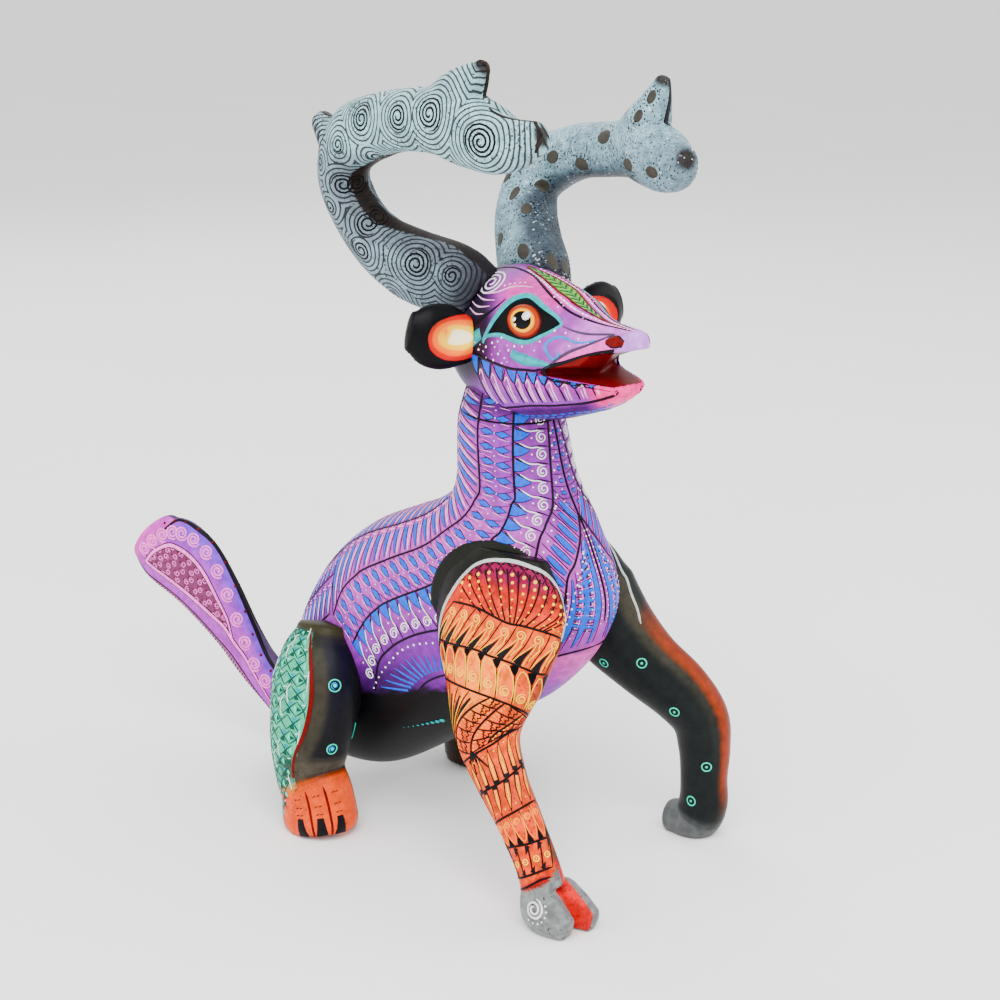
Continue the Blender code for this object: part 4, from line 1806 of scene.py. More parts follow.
CREST = (
    (2.5, 118), (3.3, 114), (4.25, 116), (5.3, 118), (7.3, 116), (8.3, 118), (9.2, 124), (10.25, 132),
    (12, 140),
)
SADDLE = (
    (3.5, 158), (3.75, 148), (4.1, 144), (4.5, 142), (6.2, 142), (7.75, 146), (9, 164), (9.75, 176),
    (12, 181),
)
FLANK = (
    (3.9, 176), (4.2, 170), (4.5, 166), (5, 164), (6.5, 166), (8.3, 180), (8.8, 190), (9.5, 204),
    (9.9, 212),
    (12, 224),
)
BREAST = (
    (4, 202), (4.3, 190), (4.6, 186), (5, 184.5), (5.7, 186), (7, 195), (8.8, 218), (9.3, 230), (10, 250),
    (12, 266),
)


@dataclass
class Torso(Carving):
    """The sitting body with its neck."""

    rows: tuple = BODY
    reach: tuple[float, float] = (4, 3)

    def __post_init__(self) -> None:
        """Makes the loft."""
        self.loft = EdgeLoft(self.rows, self.reach)

    def shape(self) -> bpy.types.Object:
        """The body, with the hole for the tail's peg."""
        return carve(self.loft.mesh(self.name, 12, 192), 0, [peg_hole(TAIL_PEG, TAIL_PLACE)])

    def ground(self, points: np.ndarray) -> np.ndarray:
        """Lilac above, violet low down and behind, black underneath, a plain purple chest.

        Args:
            points: Points in the object's frame, in millimetres.

        Returns:
            Linear colours, one row for each point.
        """
        t, a = self.loft.chart_of(points)
        a = np.where(a > 270, 540 - a, a)
        a = np.where(a < 90, 180 - a, a)
        colour = plain(LILAC, t)
        colour = mix(colour, ROSE, smooth(a, 150, 100) * smooth(t, 2.5, 5) * 0.5)
        colour = mix(colour, VIOLET, smooth(a, 150, 195) * smooth(t, 8.6, 5.5) * 0.8)
        colour = mix(colour, VIOLET, smooth(t, 4.2, 2.6) * 0.8)
        colour = mix(colour, VIOLET, smooth(a, 165, 190) * smooth(t, 8.5, 10) * 0.55)
        colour = mix(colour, DUSK, smooth(t, 5.6, 4.2) * smooth(a, 178, 200) * 0.9)
        colour = mix(colour, DUSK, smooth(t, 11.1, 11.6) * 0.7)
        colour = mix(colour, (0.09, 0.1, 0.06), smooth(a, 97, 91) * smooth(t, 9, 7.5))
        rim = np.interp(t, [3.5, 4.0, 4.4, 5.1, 5.8], [194, 202, 206, 216, 232])
        under = smooth(a - rim, -3, 3)
        under = under * smooth(t, 5.9, 5.5) + smooth(t, 3.2, 2.4) * smooth(a, 150, 170)
        colour = mix(colour, NIGHT, np.clip(under, 0, 1))
        chest = smooth(np.hypot((t - 6.35) / 0.9, (a - 270) / 40), 1.05, 0.95)
        tint = (
            np.array(VIOLET) * 1.3 + (np.array(ROSE) - np.array(VIOLET) * 1.3)
            * smooth(t, 5.9, 7.1)[:, None]
        )
        return mix(colour, tint, chest)

    def paint(self, wood: bpy.types.Object) -> list[bpy.types.Object]:
        """The bands of both sides, the ridge and the throat.

        Args:
            wood: The carved wood.

        Returns:
            The paint's objects.
        """
        made = []
        for side in ("right", "left"):
            brush = Brush(f"{self.name}_{side}", wood)
            self.paint_side(brush, flipped if side == "left" else tuple)
            made += brush.lay()
        return made

    def paint_side(self, brush: Brush, place: Callable[[Path], Path]) -> None:
        """Paints one side.

        Args:
            brush: The brush.
            place: Moves a chart path of the right side to the side being painted.
        """
        loft = self.loft
        ridge = tuple((t, 94) for t in (2.5, 3.3, 4.25, 5.3, 7.3, 8.3, 9.2, 10.25, 12))
        low_keel = ((7.6, 262), (8.3, 262), (9.2, 264), (10.4, 268), (12, 269))
        Motif.ridge_triangles(brush, Band(loft, place(ridge), place(CREST), 3.4, 0.5))
        Motif.saddle_teeth(brush, Band(loft, place(CREST[1:]), place(SADDLE), 4.3, 0.5))
        Motif.flank_diamonds(brush, Band(loft, place(SADDLE), place(FLANK), 4.4, 0.15))
        Motif.petal_spirals(
            brush, Band(loft, place(FLANK), place(BREAST), 4.7), -1 if place is flipped else 1
        )
        upper = ((7.8, 204), (8.8, 219), (9.3, 231), (10, 250), (11.4, 262))
        side_v = ((7.55, 232), (8.4, 237), (8.75, 248), (9.2, 262), (9.5, 269))
        Motif.rounded_bars(brush, Band(loft, place(upper[:4]), place(side_v), 3.6, 0.1))
        Motif.rounded_bars(
            brush,
            Band(loft, place(((7.6, 234), (8.2, 238), (8.6, 250), (8.9, 258))), place(low_keel[:3]), 2.6)
        )
        throat = Band(
            loft, place(((9.6, 236), (10, 250), (11.2, 260))),
            place(((9.6, 268), (10.2, 269), (11.2, 269))), 3.4
        )
        for cell, _ in cells_of(brush, throat):
            cell.wedge([(0.5, 0.12), (0.5, 0.3), (0.55, 0.5)], (0.15, 0.7, 0.15))
            cell.stroke([(0, 0), (0.1, 1)], 0.12, Ink.BLACK, 1.4)
            cell.dot(0.4, 0.75, 0.36, Ink.WHITE)
            cell.dot(0.8, 0.4, 0.24, Ink.WHITE)
        pad_rim = [
            (6.35 + 0.95 * math.cos(k), 270 - 42 * math.sin(k)) for k in (1.45, 1.1, 0.75, 0.4, 0.05)
        ]
        Motif.rays(brush, Band(loft, place(side_v), place(pad_rim), 5.2))
        self.paint_lines(brush, place, (CREST, SADDLE, FLANK, BREAST, side_v))
        self.paint_rump(brush, place)
        self.paint_fan(brush, place)
        self.paint_seam(brush, place)
        for k in range(9):
            share = k / 8
            spot = loft.at(*place(((4.0 + 0.6 * share, 228 + 8 * share),))[0])
            brush.dot(spot, 0.2 + 0.75 * share**1.6, Ink.TURQUOISE)

    def paint_lines(self, brush: Brush, place: Callable[[Path], Path], lines: Sequence[Path]) -> None:
        """The long black lines between the bands, the chest pad's outline and the collar.

        Args:
            brush: The brush.
            place: Moves a chart path of the right side to the side being painted.
            lines: Chart paths of the lines between the bands.
        """
        for line in lines:
            Motif.edge(brush, self.loft, place(line), 0.38, Ink.SOFT_BLACK)
        Motif.edge(brush, self.loft, place(((7.75, 270), (9.4, 270), (12, 270))), 0.4, Ink.SOFT_BLACK)
        pad = [(6.35 + 0.9 * math.cos(k), 270 - 40 * math.sin(k)) for k in np.linspace(0, 2.6, 14)]
        Motif.edge(brush, self.loft, place(pad), 0.42)
        Motif.edge(brush, self.loft, place(((11.3, 90), (11.25, 180), (11.3, 270))), 0.3)

    def paint_rump(self, brush: Brush, place: Callable[[Path], Path]) -> None:
        """Narrowing bands that carry the back's pattern down to the tail.

        Args:
            brush: The brush.
            place: Moves a chart path of the right side to the side being painted.
        """
        for k, (low, high) in enumerate(((92, 104), (104, 118), (118, 136), (136, 158), (158, 184))):
            upper = ((0.7, low), (1.5, low), (2.6, low + 1), (3.4, low + 2))
            lower = ((0.7, high), (1.5, high), (2.6, high), (3.4, high - 2))
            band = Band(self.loft, place(upper), place(lower), 3.4, 0.3)
            if k % 2:
                Motif.saddle_teeth(brush, band)
            else:
                Motif.flank_diamonds(brush, band)
            Motif.edge(brush, self.loft, place(lower), 0.33, Ink.SOFT_BLACK)

    def paint_seam(self, brush: Brush, place: Callable[[Path], Path]) -> None:
        """The sooty border round the shoulder.

        Args:
            brush: The brush.
            place: Moves a chart path of the right side to the side being painted.
        """
        side, leg = (1, LEFT_FRONT_LEG) if place is flipped else (-1, RIGHT_FRONT_LEG)
        _, y, z, _, deep = leg[1]
        turn = np.linspace(-0.35, math.pi + 0.35, 40)
        ring = np.stack(
            [turn * 0 + side * 21, y + (deep + 1.4) * np.cos(turn), z - 8 + 17.6 * np.sin(turn)], -1
        )
        brush.stroke(ring + (0, SHIFT_Y, 0), 2.6, Ink.SOOT, 4)

    def paint_fan(self, brush: Brush, place: Callable[[Path], Path]) -> None:
        """Blue rays over the dark belly, under an arc of white dots.

        Args:
            brush: The brush.
            place: Moves a chart path of the right side to the side being painted.
        """
        loft = self.loft
        arc = place(
            ((4.0, 200), (4.15, 197), (4.42, 193), (4.83, 189), (5.25, 189.5), (5.7, 193), (6.2, 198))
        )
        brush.dots_along(trace(loft, arc, 0.4), 2.6, (0.34, 0.42, 0.36), Ink.WHITE)
        for k in np.linspace(0, 1, 15):
            start = (4.55 + 1.1 * k, 209 - 3.5 * math.sin(math.pi * k))
            end = (4.15 + 1.9 * k, 204.5 - 10.5 * math.sin(math.pi * min(1, 0.1 + k)))
            brush.stroke(trace(loft, place((start, end)), 0.9), (0.5, 0.42, 0.12), Ink.BLUE, 2)
        rim = ((4.7, 212), (4.9, 209.5), (5.17, 209), (5.5, 210))
        Motif.edge(brush, loft, place(rim), 0.3)


def peg_hole(peg: tuple, place: Place, more: float = GAP, longer: float = 0.6) -> bpy.types.Object:
    """The round hole of a peg.

    Args:
        peg: Start, end and radius in the group's own frame.
        place: Where that group stands.
        more: How much wider than the peg the hole is.
        longer: How much further it goes at each end.

    Returns:
        A closed cylinder.
    """
    start, end = place.world(np.array(peg[0], float)), place.world(np.array(peg[1], float))
    along = unit(end - start)
    side = unit(np.cross(along, (0, 0, 1)))
    up = np.cross(side, along)
    angle = np.linspace(0, 2 * math.pi, 32, endpoint=False)[:, None]
    ring = (side * np.cos(angle) + up * np.sin(angle)) * (peg[2] + more)
    points = np.concatenate([start - along * longer + ring, end + along * longer + ring])
    faces = [(k, 32 + k, 32 + (k + 1) % 32, (k + 1) % 32) for k in range(32)]
    faces += [tuple(range(32)), tuple(range(63, 31, -1))]
    return mesh_object("peg_hole", points, faces)


def ellipsoid(centre: np.ndarray, radii: Sequence[float], place: Place) -> bpy.types.Object:
    """A smooth closed ellipsoid, its radii along a group's own axes.

    Args:
        centre: Its centre in the group's own frame.
        radii: Its radii along the group's axes.
        place: Where that group stands.

    Returns:
        The new object.
    """
    sides = 48
    polar, turn = np.linspace(0, math.pi, 25)[1:-1], np.linspace(0, 2 * math.pi, sides, endpoint=False)
    axes = (np.sin(polar), np.cos(turn)), (np.sin(polar), np.sin(turn)), (np.cos(polar), np.ones(sides))
    rings = np.stack([np.outer(*pair) for pair in axes], -1).reshape(-1, 3)
    points = np.concatenate([rings, [(0, 0, 1), (0, 0, -1)]]) * np.array(radii) + np.array(centre)
    last, pole = (len(polar) - 1) * sides, len(polar) * sides
    faces = ring_faces(len(polar), sides, True)
    faces += [(pole, k, (k + 1) % sides) for k in range(sides)]
    faces += [(pole + 1, last + (k + 1) % sides, last + k) for k in range(sides)]
    return mesh_object("hollow", place.world(points), faces)


def tone(red: float, green: float, blue: float) -> Colour:
    """A linear colour from display values of 0 to 255."""
    return tuple(((c / 255 + 0.055) / 1.055) ** 2.4 if c > 10 else c / 3294 for c in (red, green, blue))


def inside(points: np.ndarray, outline: Path) -> np.ndarray:
    """Which flat points lie inside a closed outline.

    Args:
        points: Rows of two coordinates.
        outline: The outline's corners.

    Returns:
        1.0 inside and 0.0 outside, for each point.
    """
    x, y = points[:, 0], points[:, 1]
    within = np.zeros(len(points), bool)
    for (x0, y0), (x1, y1) in zip(outline, [*outline[1:], outline[0]]):
        crosses = (y0 > y) != (y1 > y)
        at = (x1 - x0) * (y - y0) / (y1 - y0 + 1e-12) + x0
        within ^= crosses & (x < at)
    return within.astype(float)


EYE_TOP = (
    (11.2, 162.2), (9.7, 165.4), (7.5, 170.2), (5.3, 174.1), (2.4, 175.6), (-0.4, 175.5), (-5.6, 173.6),
    (-10.6, 171.4), (-13.5, 169.6),
)
EYE_FOOT = (
    (-13.5, 169.6), (-12, 168), (-9.6, 166.2), (-6.7, 164.4), (-3.1, 164), (1, 164.5), (4.6, 164.8),
    (9.7, 163.7), (11.2, 161.6),
)
CHEEK = ((18, 158.6), (9, 157), (-0.4, 156.1), (-6.7, 156.5), (-12, 156.4))
LOWER_LIP = ((-12, 156), (-13.6, 154.7), (-18, 154.4), (-23.4, 154.2), (-28.5, 154), (-32.4, 153.8))
JAW = (
    (27.1, 142.3), (21.6, 140.3), (15, 140.6), (8.2, 142.3), (-3.8, 145.2), (-12, 146.5), (-20, 148.5),
    (-26.5, 150.8), (-32.4, 153.4),
)
UPPER_LIP = ((-11.6, 156.8), (-15.6, 160.4), (-19.5, 163.2), (-24.4, 165.4), (-28.5, 167.2), (-31.4, 168.4))
LIP_EDGE = ((-11.6, 156.2), (-13.6, 158.2), (-18.9, 160.4), (-23.4, 162.4), (-27.7, 163.9), (-33, 165.3))
HEAD_RIDGE = (
    (1.2, 112), (2, 102), (2.4, 100), (2.9, 100), (3.4, 105), (4, 110), (4.8, 112), (5.4, 110), (6, 106),
    (6.9, 102), (8, 95)
)
CROWN_EDGE = ((2.3, 91), (2.6, 93), (3.3, 97), (3.9, 100), (4.7, 98), (5.4, 95), (6.2, 91))


@dataclass
class Head(Carving):
    """The head with its open mouth."""

    rows: tuple = (*HEAD, (-35.4, 169.8, 153.2, 4.6))
    reach: tuple[float, float] = (5, 1.0)

    def __post_init__(self) -> None:
        """Makes the loft."""
        self.loft = UprightLoft(self.rows, self.reach, HEAD_PLACE)

    def shape(self) -> bpy.types.Object:
        """The head, cut for the mouth, rounded, and drilled for antlers and ears.

        Returns:
            The carved mesh.
        """
        head = carve(self.loft.mesh(self.name, 8, 96), 0, [self.mouth(), self.chin()])
        pegs = [peg_hole(peg, HEAD_PLACE) for peg in HEAD_PEGS.values()]
        return carve(carve(head, 0.45), 0, pegs)

    @staticmethod
    def mouth() -> bpy.types.Object:
        """The wedge that opens the mouth.

        Returns:
            A closed mesh object.
        """
        half, slope = 24, (-9 + 20) / 15.3
        points = []
        for x, rear in ((-half, -20 + slope * half), (0, -20), (half, -20 + slope * half)):
            profile = (rear + 1.2, 155.4), (-46, 154), (-46, 167.4), (-26, 162.8), (rear - 0.3, 157.2)
            points += [(x, y, z) for y, z in profile]
        faces = [(4, 3, 2, 1, 0), (10, 11, 12, 13, 14)]
        for b in (0, 5):
            faces += [(b + k, b + (k + 1) % 5, b + 5 + (k + 1) % 5, b + 5 + k) for k in range(5)]
        made = mesh_object("mouth_cut", HEAD_PLACE.world(np.array(points, float)), faces)
        return outwards(made)

    @staticmethod
    def chin() -> bpy.types.Object:
        """The block that shortens the lower jaw.

        Returns:
            A closed mesh object.
        """
        points = [(x, y, z) for x in (-10, 10) for y in (-52.5, -32.5) for z in (138, 158)]
        faces = [(0, 1, 3, 2), (4, 6, 7, 5), (0, 4, 5, 1), (2, 3, 7, 6), (0, 2, 6, 4), (1, 5, 7, 3)]
        return outwards(mesh_object("chin_cut", HEAD_PLACE.world(np.array(points, float)), faces))

    def sizes(self, y: np.ndarray) -> tuple[np.ndarray, np.ndarray, np.ndarray]:
        """Mid height, half height and half width of the head at y.

        Args:
            y: Places along the head's length.

        Returns:
            The three sizes at each place.
        """
        t = np.linspace(0, self.loft.last, 200)
        rows = read_rows(self.rows, t)[::-1]
        top, bottom, width = (np.interp(y, rows[:, 0], rows[:, k]) for k in (1, 2, 3))
        return (top + bottom) / 2, (top - bottom) / 2, width

    def on_side(self, path: Path, sign: int, step: float = 0.8) -> np.ndarray:
        """A smooth line drawn in side view, laid on one side of the head.

        Args:
            path: Its (y, z) knots.
            sign: -1 for the right side and 1 for the left.
            step: The distance between points in millimetres.

        Returns:
            Points in the object's frame.
        """
        return self.lifted(evenly(path, lambda fine: self.lifted(fine, sign), step, fineness=12), sign)

    def lifted(self, side_view: np.ndarray, sign: int) -> np.ndarray:
        """Side-view points moved out onto one side of the head.

        Args:
            side_view: Rows of y and z.
            sign: -1 for the right side and 1 for the left.

        Returns:
            Points in the object's frame.
        """
        middle, half, width = self.sizes(side_view[:, 0])
        up = np.clip((side_view[:, 1] - middle) / half, -0.985, 0.985)
        return HEAD_PLACE.world(
            np.stack([sign * width * np.sqrt(1 - up**2), side_view[:, 0], side_view[:, 1]], -1)
        )

    def ground(self, points: np.ndarray) -> np.ndarray:
        """Lilac and pink, smoky round the antlers, green on the crown, dark red in the mouth.

        Args:
            points: Points in the object's frame, in millimetres.

        Returns:
            Linear colours, one row for each point.
        """
        own = HEAD_PLACE.local(points)
        x, y, z = own.T
        t, a = self.loft.chart_of(points)
        a = np.where(a < 90, 180 - a, np.where(a > 270, 540 - a, a))
        side_view = own[:, 1:]
        colour = plain(tone(158, 92, 168), x)
        colour = mix(
            colour, tone(205, 92, 165), smooth(np.hypot((y + 1) / 13, (z - 177) / 6), 1.3, 0.5) * 0.8
        )
        colour = mix(colour, tone(196, 128, 200), smooth(y, -12, -22) * smooth(z, 158, 163) * 0.9)
        colour = mix(colour, tone(148, 74, 160), smooth(z, 163, 158) * smooth(y, -18, -8) * 0.6)
        colour = mix(colour, tone(150, 95, 175), inside(side_view, [*CHEEK, *LOWER_LIP, *JAW[::-1]]) * 0.7)
        colour = mix(
            colour, tone(172, 84, 166),
            inside(side_view, [*CHEEK, *LOWER_LIP, *JAW[::-1]]) * smooth(z, 147, 155)
        )
        colour = mix(colour, tone(222, 92, 150), smooth(y, -22, -29) * smooth(z, 157, 155))
        lips = inside(side_view, [*UPPER_LIP, *LIP_EDGE[::-1]])
        colour = mix(colour, tone(216, 116, 184), lips)
        jaw_y, jaw_z = np.array(JAW[::-1]).T
        under = smooth(np.interp(y, jaw_y, jaw_z) - z, -0.3, 1.6) * smooth(y, -27, -20)
        colour = mix(colour, tone(78, 42, 100), under * 0.9)
        crown = np.interp(t, [2.3, 2.6, 3.3, 3.9, 4.7, 5.4, 6.2], [90, 93, 97, 100, 98, 95, 90])
        colour = mix(colour, tone(122, 165, 88), (a < crown) * 1.0)
        colour = mix(
            colour, tone(90, 25, 35), smooth(np.abs(a - crown - 1), 1.6, 0.8) * smooth(t, 2, 2.6) * 0.9
        )
        colour = mix(colour, tone(60, 50, 80), smooth(y, 12, 26) * 0.85)
        colour = mix(colour, tone(40, 38, 58), smooth(np.hypot(y - 26, z - 165), 20, 11) * 0.9)
        for peg in ("right_ear", "left_ear", "right_antler", "left_antler"):
            near = np.linalg.norm(own - np.array(HEAD_PEGS[peg][1]) * (0.92, 1, 1), axis=1)
            colour = mix(colour, tone(38, 36, 48), smooth(near, 17, 9) * 0.85)
        colour = mix(colour, NIGHT, inside(side_view, [*EYE_TOP, *EYE_FOOT]) * (np.abs(x) > 4))
        colour = mix(colour, tone(196, 150, 214), smooth(y, -33.6, -34.4) * smooth(z, 163, 165))
        middle, half, width = self.sizes(y)
        depth = np.hypot(x / np.maximum(width, 1), (z - middle) / half)
        lining = (
            smooth(depth, 0.95, 0.9) * (y < -6) * ((y > -31.8) | (z > 158)) * (y > -35) * (z > 150)
            * (z < 168)
        )
        edge = inside(side_view, [*LIP_EDGE, (-33, 160), (-13, 155.4)])
        return mix(colour, tone(112, 20, 14), np.maximum(lining, edge))

    def paint(self, wood: bpy.types.Object) -> list[bpy.types.Object]:
        """Both sides' lines and dots, and the eyes.

        Args:
            wood: The carved wood.

        Returns:
            The paint's objects.
        """
        made = []
        for side, sign in (("right", -1), ("left", 1)):
            brush = Brush(f"{self.name}_{side}", wood)
            place = flipped if sign > 0 else tuple
            self.paint_face(brush, sign)
            self.paint_cheek(brush, sign)
            self.paint_crown(brush, place)
            self.paint_jaw(brush, place)
            made += [*brush.lay(), self.eye(side, sign)]
        return made

    def paint_face(self, brush: Brush, sign: int) -> None:
        """The eye's rim, the temple curl, the drops and the nose.

        Args:
            brush: The brush.
            sign: -1 for the right side and 1 for the left.
        """

        def line(path: Path, half: float | Sequence[float], ink: Ink, layer: float = 2.5) -> None:
            """One stroke in side view."""
            brush.stroke(self.on_side(path, sign), half, ink, layer)

        line(EYE_TOP, (0.5, 0.8, 1.0, 1.15, 1.0, 0.9, 0.7, 0.45), Ink.TURQUOISE)
        line(EYE_FOOT, (0.45, 0.55, 0.65, 0.75, 0.7, 0.6, 0.5), Ink.TURQUOISE)
        line(
            ((20.9, 162.5), (14.3, 167.4), (9.7, 171.4), (7.5, 174.1)), (0.3, 0.6, 0.5, 0.15),
            Ink.SOFT_BLACK
        )
        line(
            ((-14, 169.2), (-18.4, 168.2), (-23.4, 167.8), (-30.7, 168.3)), (0.15, 0.35, 0.35, 0.3),
            Ink.GREY
        )
        for spots in (
            ((12.8, 164), (15, 162.5), (16.5, 160.3)),
            ((-1.2, 160.6), (-3.8, 159.7), (-8.7, 159.1), (-14.4, 158.7)),
        ):
            widths = (1.5, 1.7, 0.8) if spots[0][0] > 0 else (1.0, 1.5, 0.9, 0.15)
            line(spots, [w + 0.35 for w in widths], Ink.LAGOON, 1.6)
            line(spots, [w * 0.72 for w in widths], Ink.TURQUOISE, 2.4)
        swirl = (
            (-16.2, 162.4), (-15.7, 160.6), (-14, 160.7), (-12.5, 162.1), (-11.5, 163.8), (-12.5, 165.5),
            (-14.6, 166.5), (-17.3, 166.3), (-20, 165.6), (-23.4, 165.9), (-26.5, 166.7),
        )
        line(swirl, (0.5, 0.5, 0.48, 0.4, 0.3, 0.15), Ink.SKY)
        line(
            ((15.8, 174.7), (12, 175.5), (9, 177.0), (6, 177.6), (2.4, 177.6)), (0.3, 0.28, 0.1),
            Ink.BLUSH
        )
        for spots in (
            ((20.2, 173.8), (16, 173.0), (11.2, 173.4)),
            ((21.6, 171.9), (17, 170.9), (12, 171.7)),
            ((20.9, 170), (17, 168.9), (13.5, 169.4)),
        ):
            line(spots, (0.12, 0.3, 0.1), Ink.BLUSH)
        dots = self.on_side(((11.2, 177.2), (9.7, 177.8), (8.2, 178.1), (7, 178.3), (6, 178.4)), sign)
        brush.dots_along(dots, 1.5, (0.36, 0.28), Ink.WHITE)
        curl = spiral_in(frame_at(self.loft, 2.06, 126 if sign < 0 else 54), 5.0, 2.7, 200, -sign)
        brush.stroke(curl, 0.32, Ink.WHITE, 2.5)
        for y, z, radius in (
            (-5.5, 175.8, 0.3), (-8.4, 174.6, 0.3), (-9.6, 173.9, 0.25), (-8.9, 173.6, 0.25)
        ):
            brush.dot(self.lifted(np.array([(y, z)]), sign)[0], radius, Ink.WHITE)
        for y, z in (
            (-17, 171.3), (-18.4, 170.8), (-17.6, 172.2), (-24, 168.9), (-25, 169.4), (-21, 170.1)
        ):
            brush.dot(self.lifted(np.array([(y, z)]), sign)[0], 0.22, Ink.BLUSH)
        nostril = self.on_side(((-29.8, 166.6), (-31.4, 167), (-33.4, 167.2), (-34.6, 166.9)), sign, 0.5)
        brush.stroke(nostril, (0.5, 1.7, 1.8, 1.0), Ink.SOFT_BLACK, 2.4)
        brush.stroke(nostril, (0.1, 1.3, 1.4, 0.6), Ink.OXBLOOD, 4)

    def paint_cheek(self, brush: Brush, sign: int) -> None:
        """White dots on the cheek and the teeth-like border of the jaw.

        Args:
            brush: The brush.
            sign: -1 for the right side and 1 for the left.
        """
        outline = [*EYE_FOOT[::-1], (-16, 168), (-27, 166.6), *UPPER_LIP[3::-1], *CHEEK[::-1], (19, 161)]
        spots = [
            (y + 0.35 * (row % 2) * 3.1, z) for row,
            z in enumerate(np.arange(157.4, 168, 1.75)) for y in np.arange(-28, 21, 3.1)
        ]
        keep = inside(np.array(spots), outline)
        for number, (y, z) in enumerate(spots):
            drift = (0.5 * math.sin(number * 2.3), 0.4 * math.sin(number * 3.7))
            on_drop = -16 < y < -0.5 and z < 161.3 or -18.5 < y < -10.5 and z < 166.5
            if keep[number] and not on_drop:
                spot = self.lifted(np.array([(y + drift[0], z + drift[1])]), sign)[0]
                brush.dot(spot, 0.2 + 0.1 * (number % 3), Ink.WHITE, 2)
        brush.stroke(self.on_side([*CHEEK, *LOWER_LIP[1:]], sign), 0.42, Ink.SOFT_BLACK, 3)
        brush.stroke(self.on_side(JAW, sign), 0.42, Ink.SOFT_BLACK, 3)
        brush.stroke(self.on_side(UPPER_LIP, sign), (0.2, 0.5, 0.35, 0.2), Ink.GREY, 3)
        brush.stroke(self.on_side(LIP_EDGE, sign), (0.9, 0.5, 0.35, 0.35), Ink.SOFT_BLACK, 3)
        top = np.array(
            [
                (17.6, 158.2), (9, 156.8), (-0.4, 155.9), (-6.7, 156.2), (-12, 156.1), (-20, 155.6),
                (-28, 155.2)
            ]
        )
        foot = np.array(
            [
                (17.6, 141.4), (9, 143), (-0.4, 145.2), (-6.7, 146.4), (-12, 147.4), (-20, 149.4),
                (-28, 152.6)
            ]
        )
        count = 10

        def cell(number: int, spots: Path, step: float = 0.7) -> np.ndarray:
            """Points of one cell under the cheek line; x runs forward and y up, from 0 to 1.

            Args:
                number: The cell's number.
                spots: Points of the cell.
                step: The distance between points in millimetres.

            Returns:
                Points in the object's frame.
            """
            xy = np.asarray(spots, float)
            where = (number + xy[:, 0]) / count * (len(top) - 1)
            high, low = read_rows(top, where), read_rows(foot, where)
            return self.on_side(low + (high - low) * xy[:, 1:2], sign, step)

        for number in range(count):
            size = 2.3 * (1 - 0.45 * number / count)
            brush.outlined(
                cell(number, [(0.52, 0.97), (0.5, 0.84), (0.55, 0.64)]), (size * 1.02, size * 0.72, 0.08),
                Ink.BLUE
            )
            brush.stroke(cell(number, [(0.05, 0.98), (0.52, 0.6), (1.0, 0.98)]), 0.2, Ink.BLACK, 2.3)
            brush.stroke(cell(number, [(0.52, 0.6), (0.62, 0.3), (0.62, 0.02)]), 0.3, Ink.BLACK, 2)
            brush.stroke(
                cell(number, [(0.74, 0.62), (1.02, 0.74), (1.06, 0.3), (1.08, 0.04)]), 0.28, Ink.BLUSH,
                2.4
            )
            brush.stroke(cell(number, [(0.86, 0.52), (0.88, 0.05)]), 0.22, Ink.BLUSH, 2.2)

    def paint_crown(self, brush: Brush, place: Callable[[Path], Path]) -> None:
        """The ridge line with its white dots and the feathered green crown.

        Args:
            brush: The brush.
            place: Moves a chart path of the right side to the side being painted.
        """
        brush.stroke(trace(self.loft, place(HEAD_RIDGE)), 0.42, Ink.SOFT_BLACK, 3)
        brush.stroke(trace(self.loft, place([*CROWN_EDGE, (7.4, 91)])), 0.3, Ink.OXBLOOD, 3)
        beads = [(2.6, 97), (3.4, 101), (4, 105), (4.8, 105), (5.4, 103), (6, 99), (6.9, 96), (8, 92.5)]
        brush.stroke(trace(self.loft, place(beads)), 0.5, Ink.PINK, 1.6)
        brush.dots_along(trace(self.loft, place(beads), 0.5), 1.5, (0.4, 0.42, 0.34), Ink.WHITE)
        for k in range(13):
            t = 2.6 + 0.24 * k
            edge = float(np.interp(t, [2.3, 3.3, 3.9, 4.7, 5.4, 6.2], [91, 96.5, 99, 97, 94.5, 90.5]))
            barb = trace(self.loft, place(((t - 0.15, edge - 0.6), (t + 0.02, 91.5), (t + 0.1, 90))))
            brush.stroke(barb, (0.1, 0.3, 0.1), Ink.FOREST, 2)
            rib = trace(self.loft, place(((t - 0.02, edge - 0.8), (t + 0.16, 91.5))))
            brush.stroke(rib, 0.12, Ink.LEAF, 2.4)

    def paint_jaw(self, brush: Brush, place: Callable[[Path], Path]) -> None:
        """Two rows of blue dashes under the jaw.

        Args:
            brush: The brush.
            place: Moves a chart path of the right side to the side being painted.
        """
        for row, (path, half) in enumerate((
            (((2.1, 246), (3.8, 243.5), (4.8, 245), (6.1, 250), (7.2, 256)), 0.42),
            (((2.3, 252), (3.8, 250), (4.8, 252), (5.6, 258), (6.3, 264)), 0.36),
        )):
            line = trace(self.loft, place(path), 0.5)
            for start in range(row * 2, len(line) - 5, 6):
                brush.stroke(line[start : start + 5], (half * 0.7, half * 1.3, half * 0.7), Ink.BLUE, 2.5)

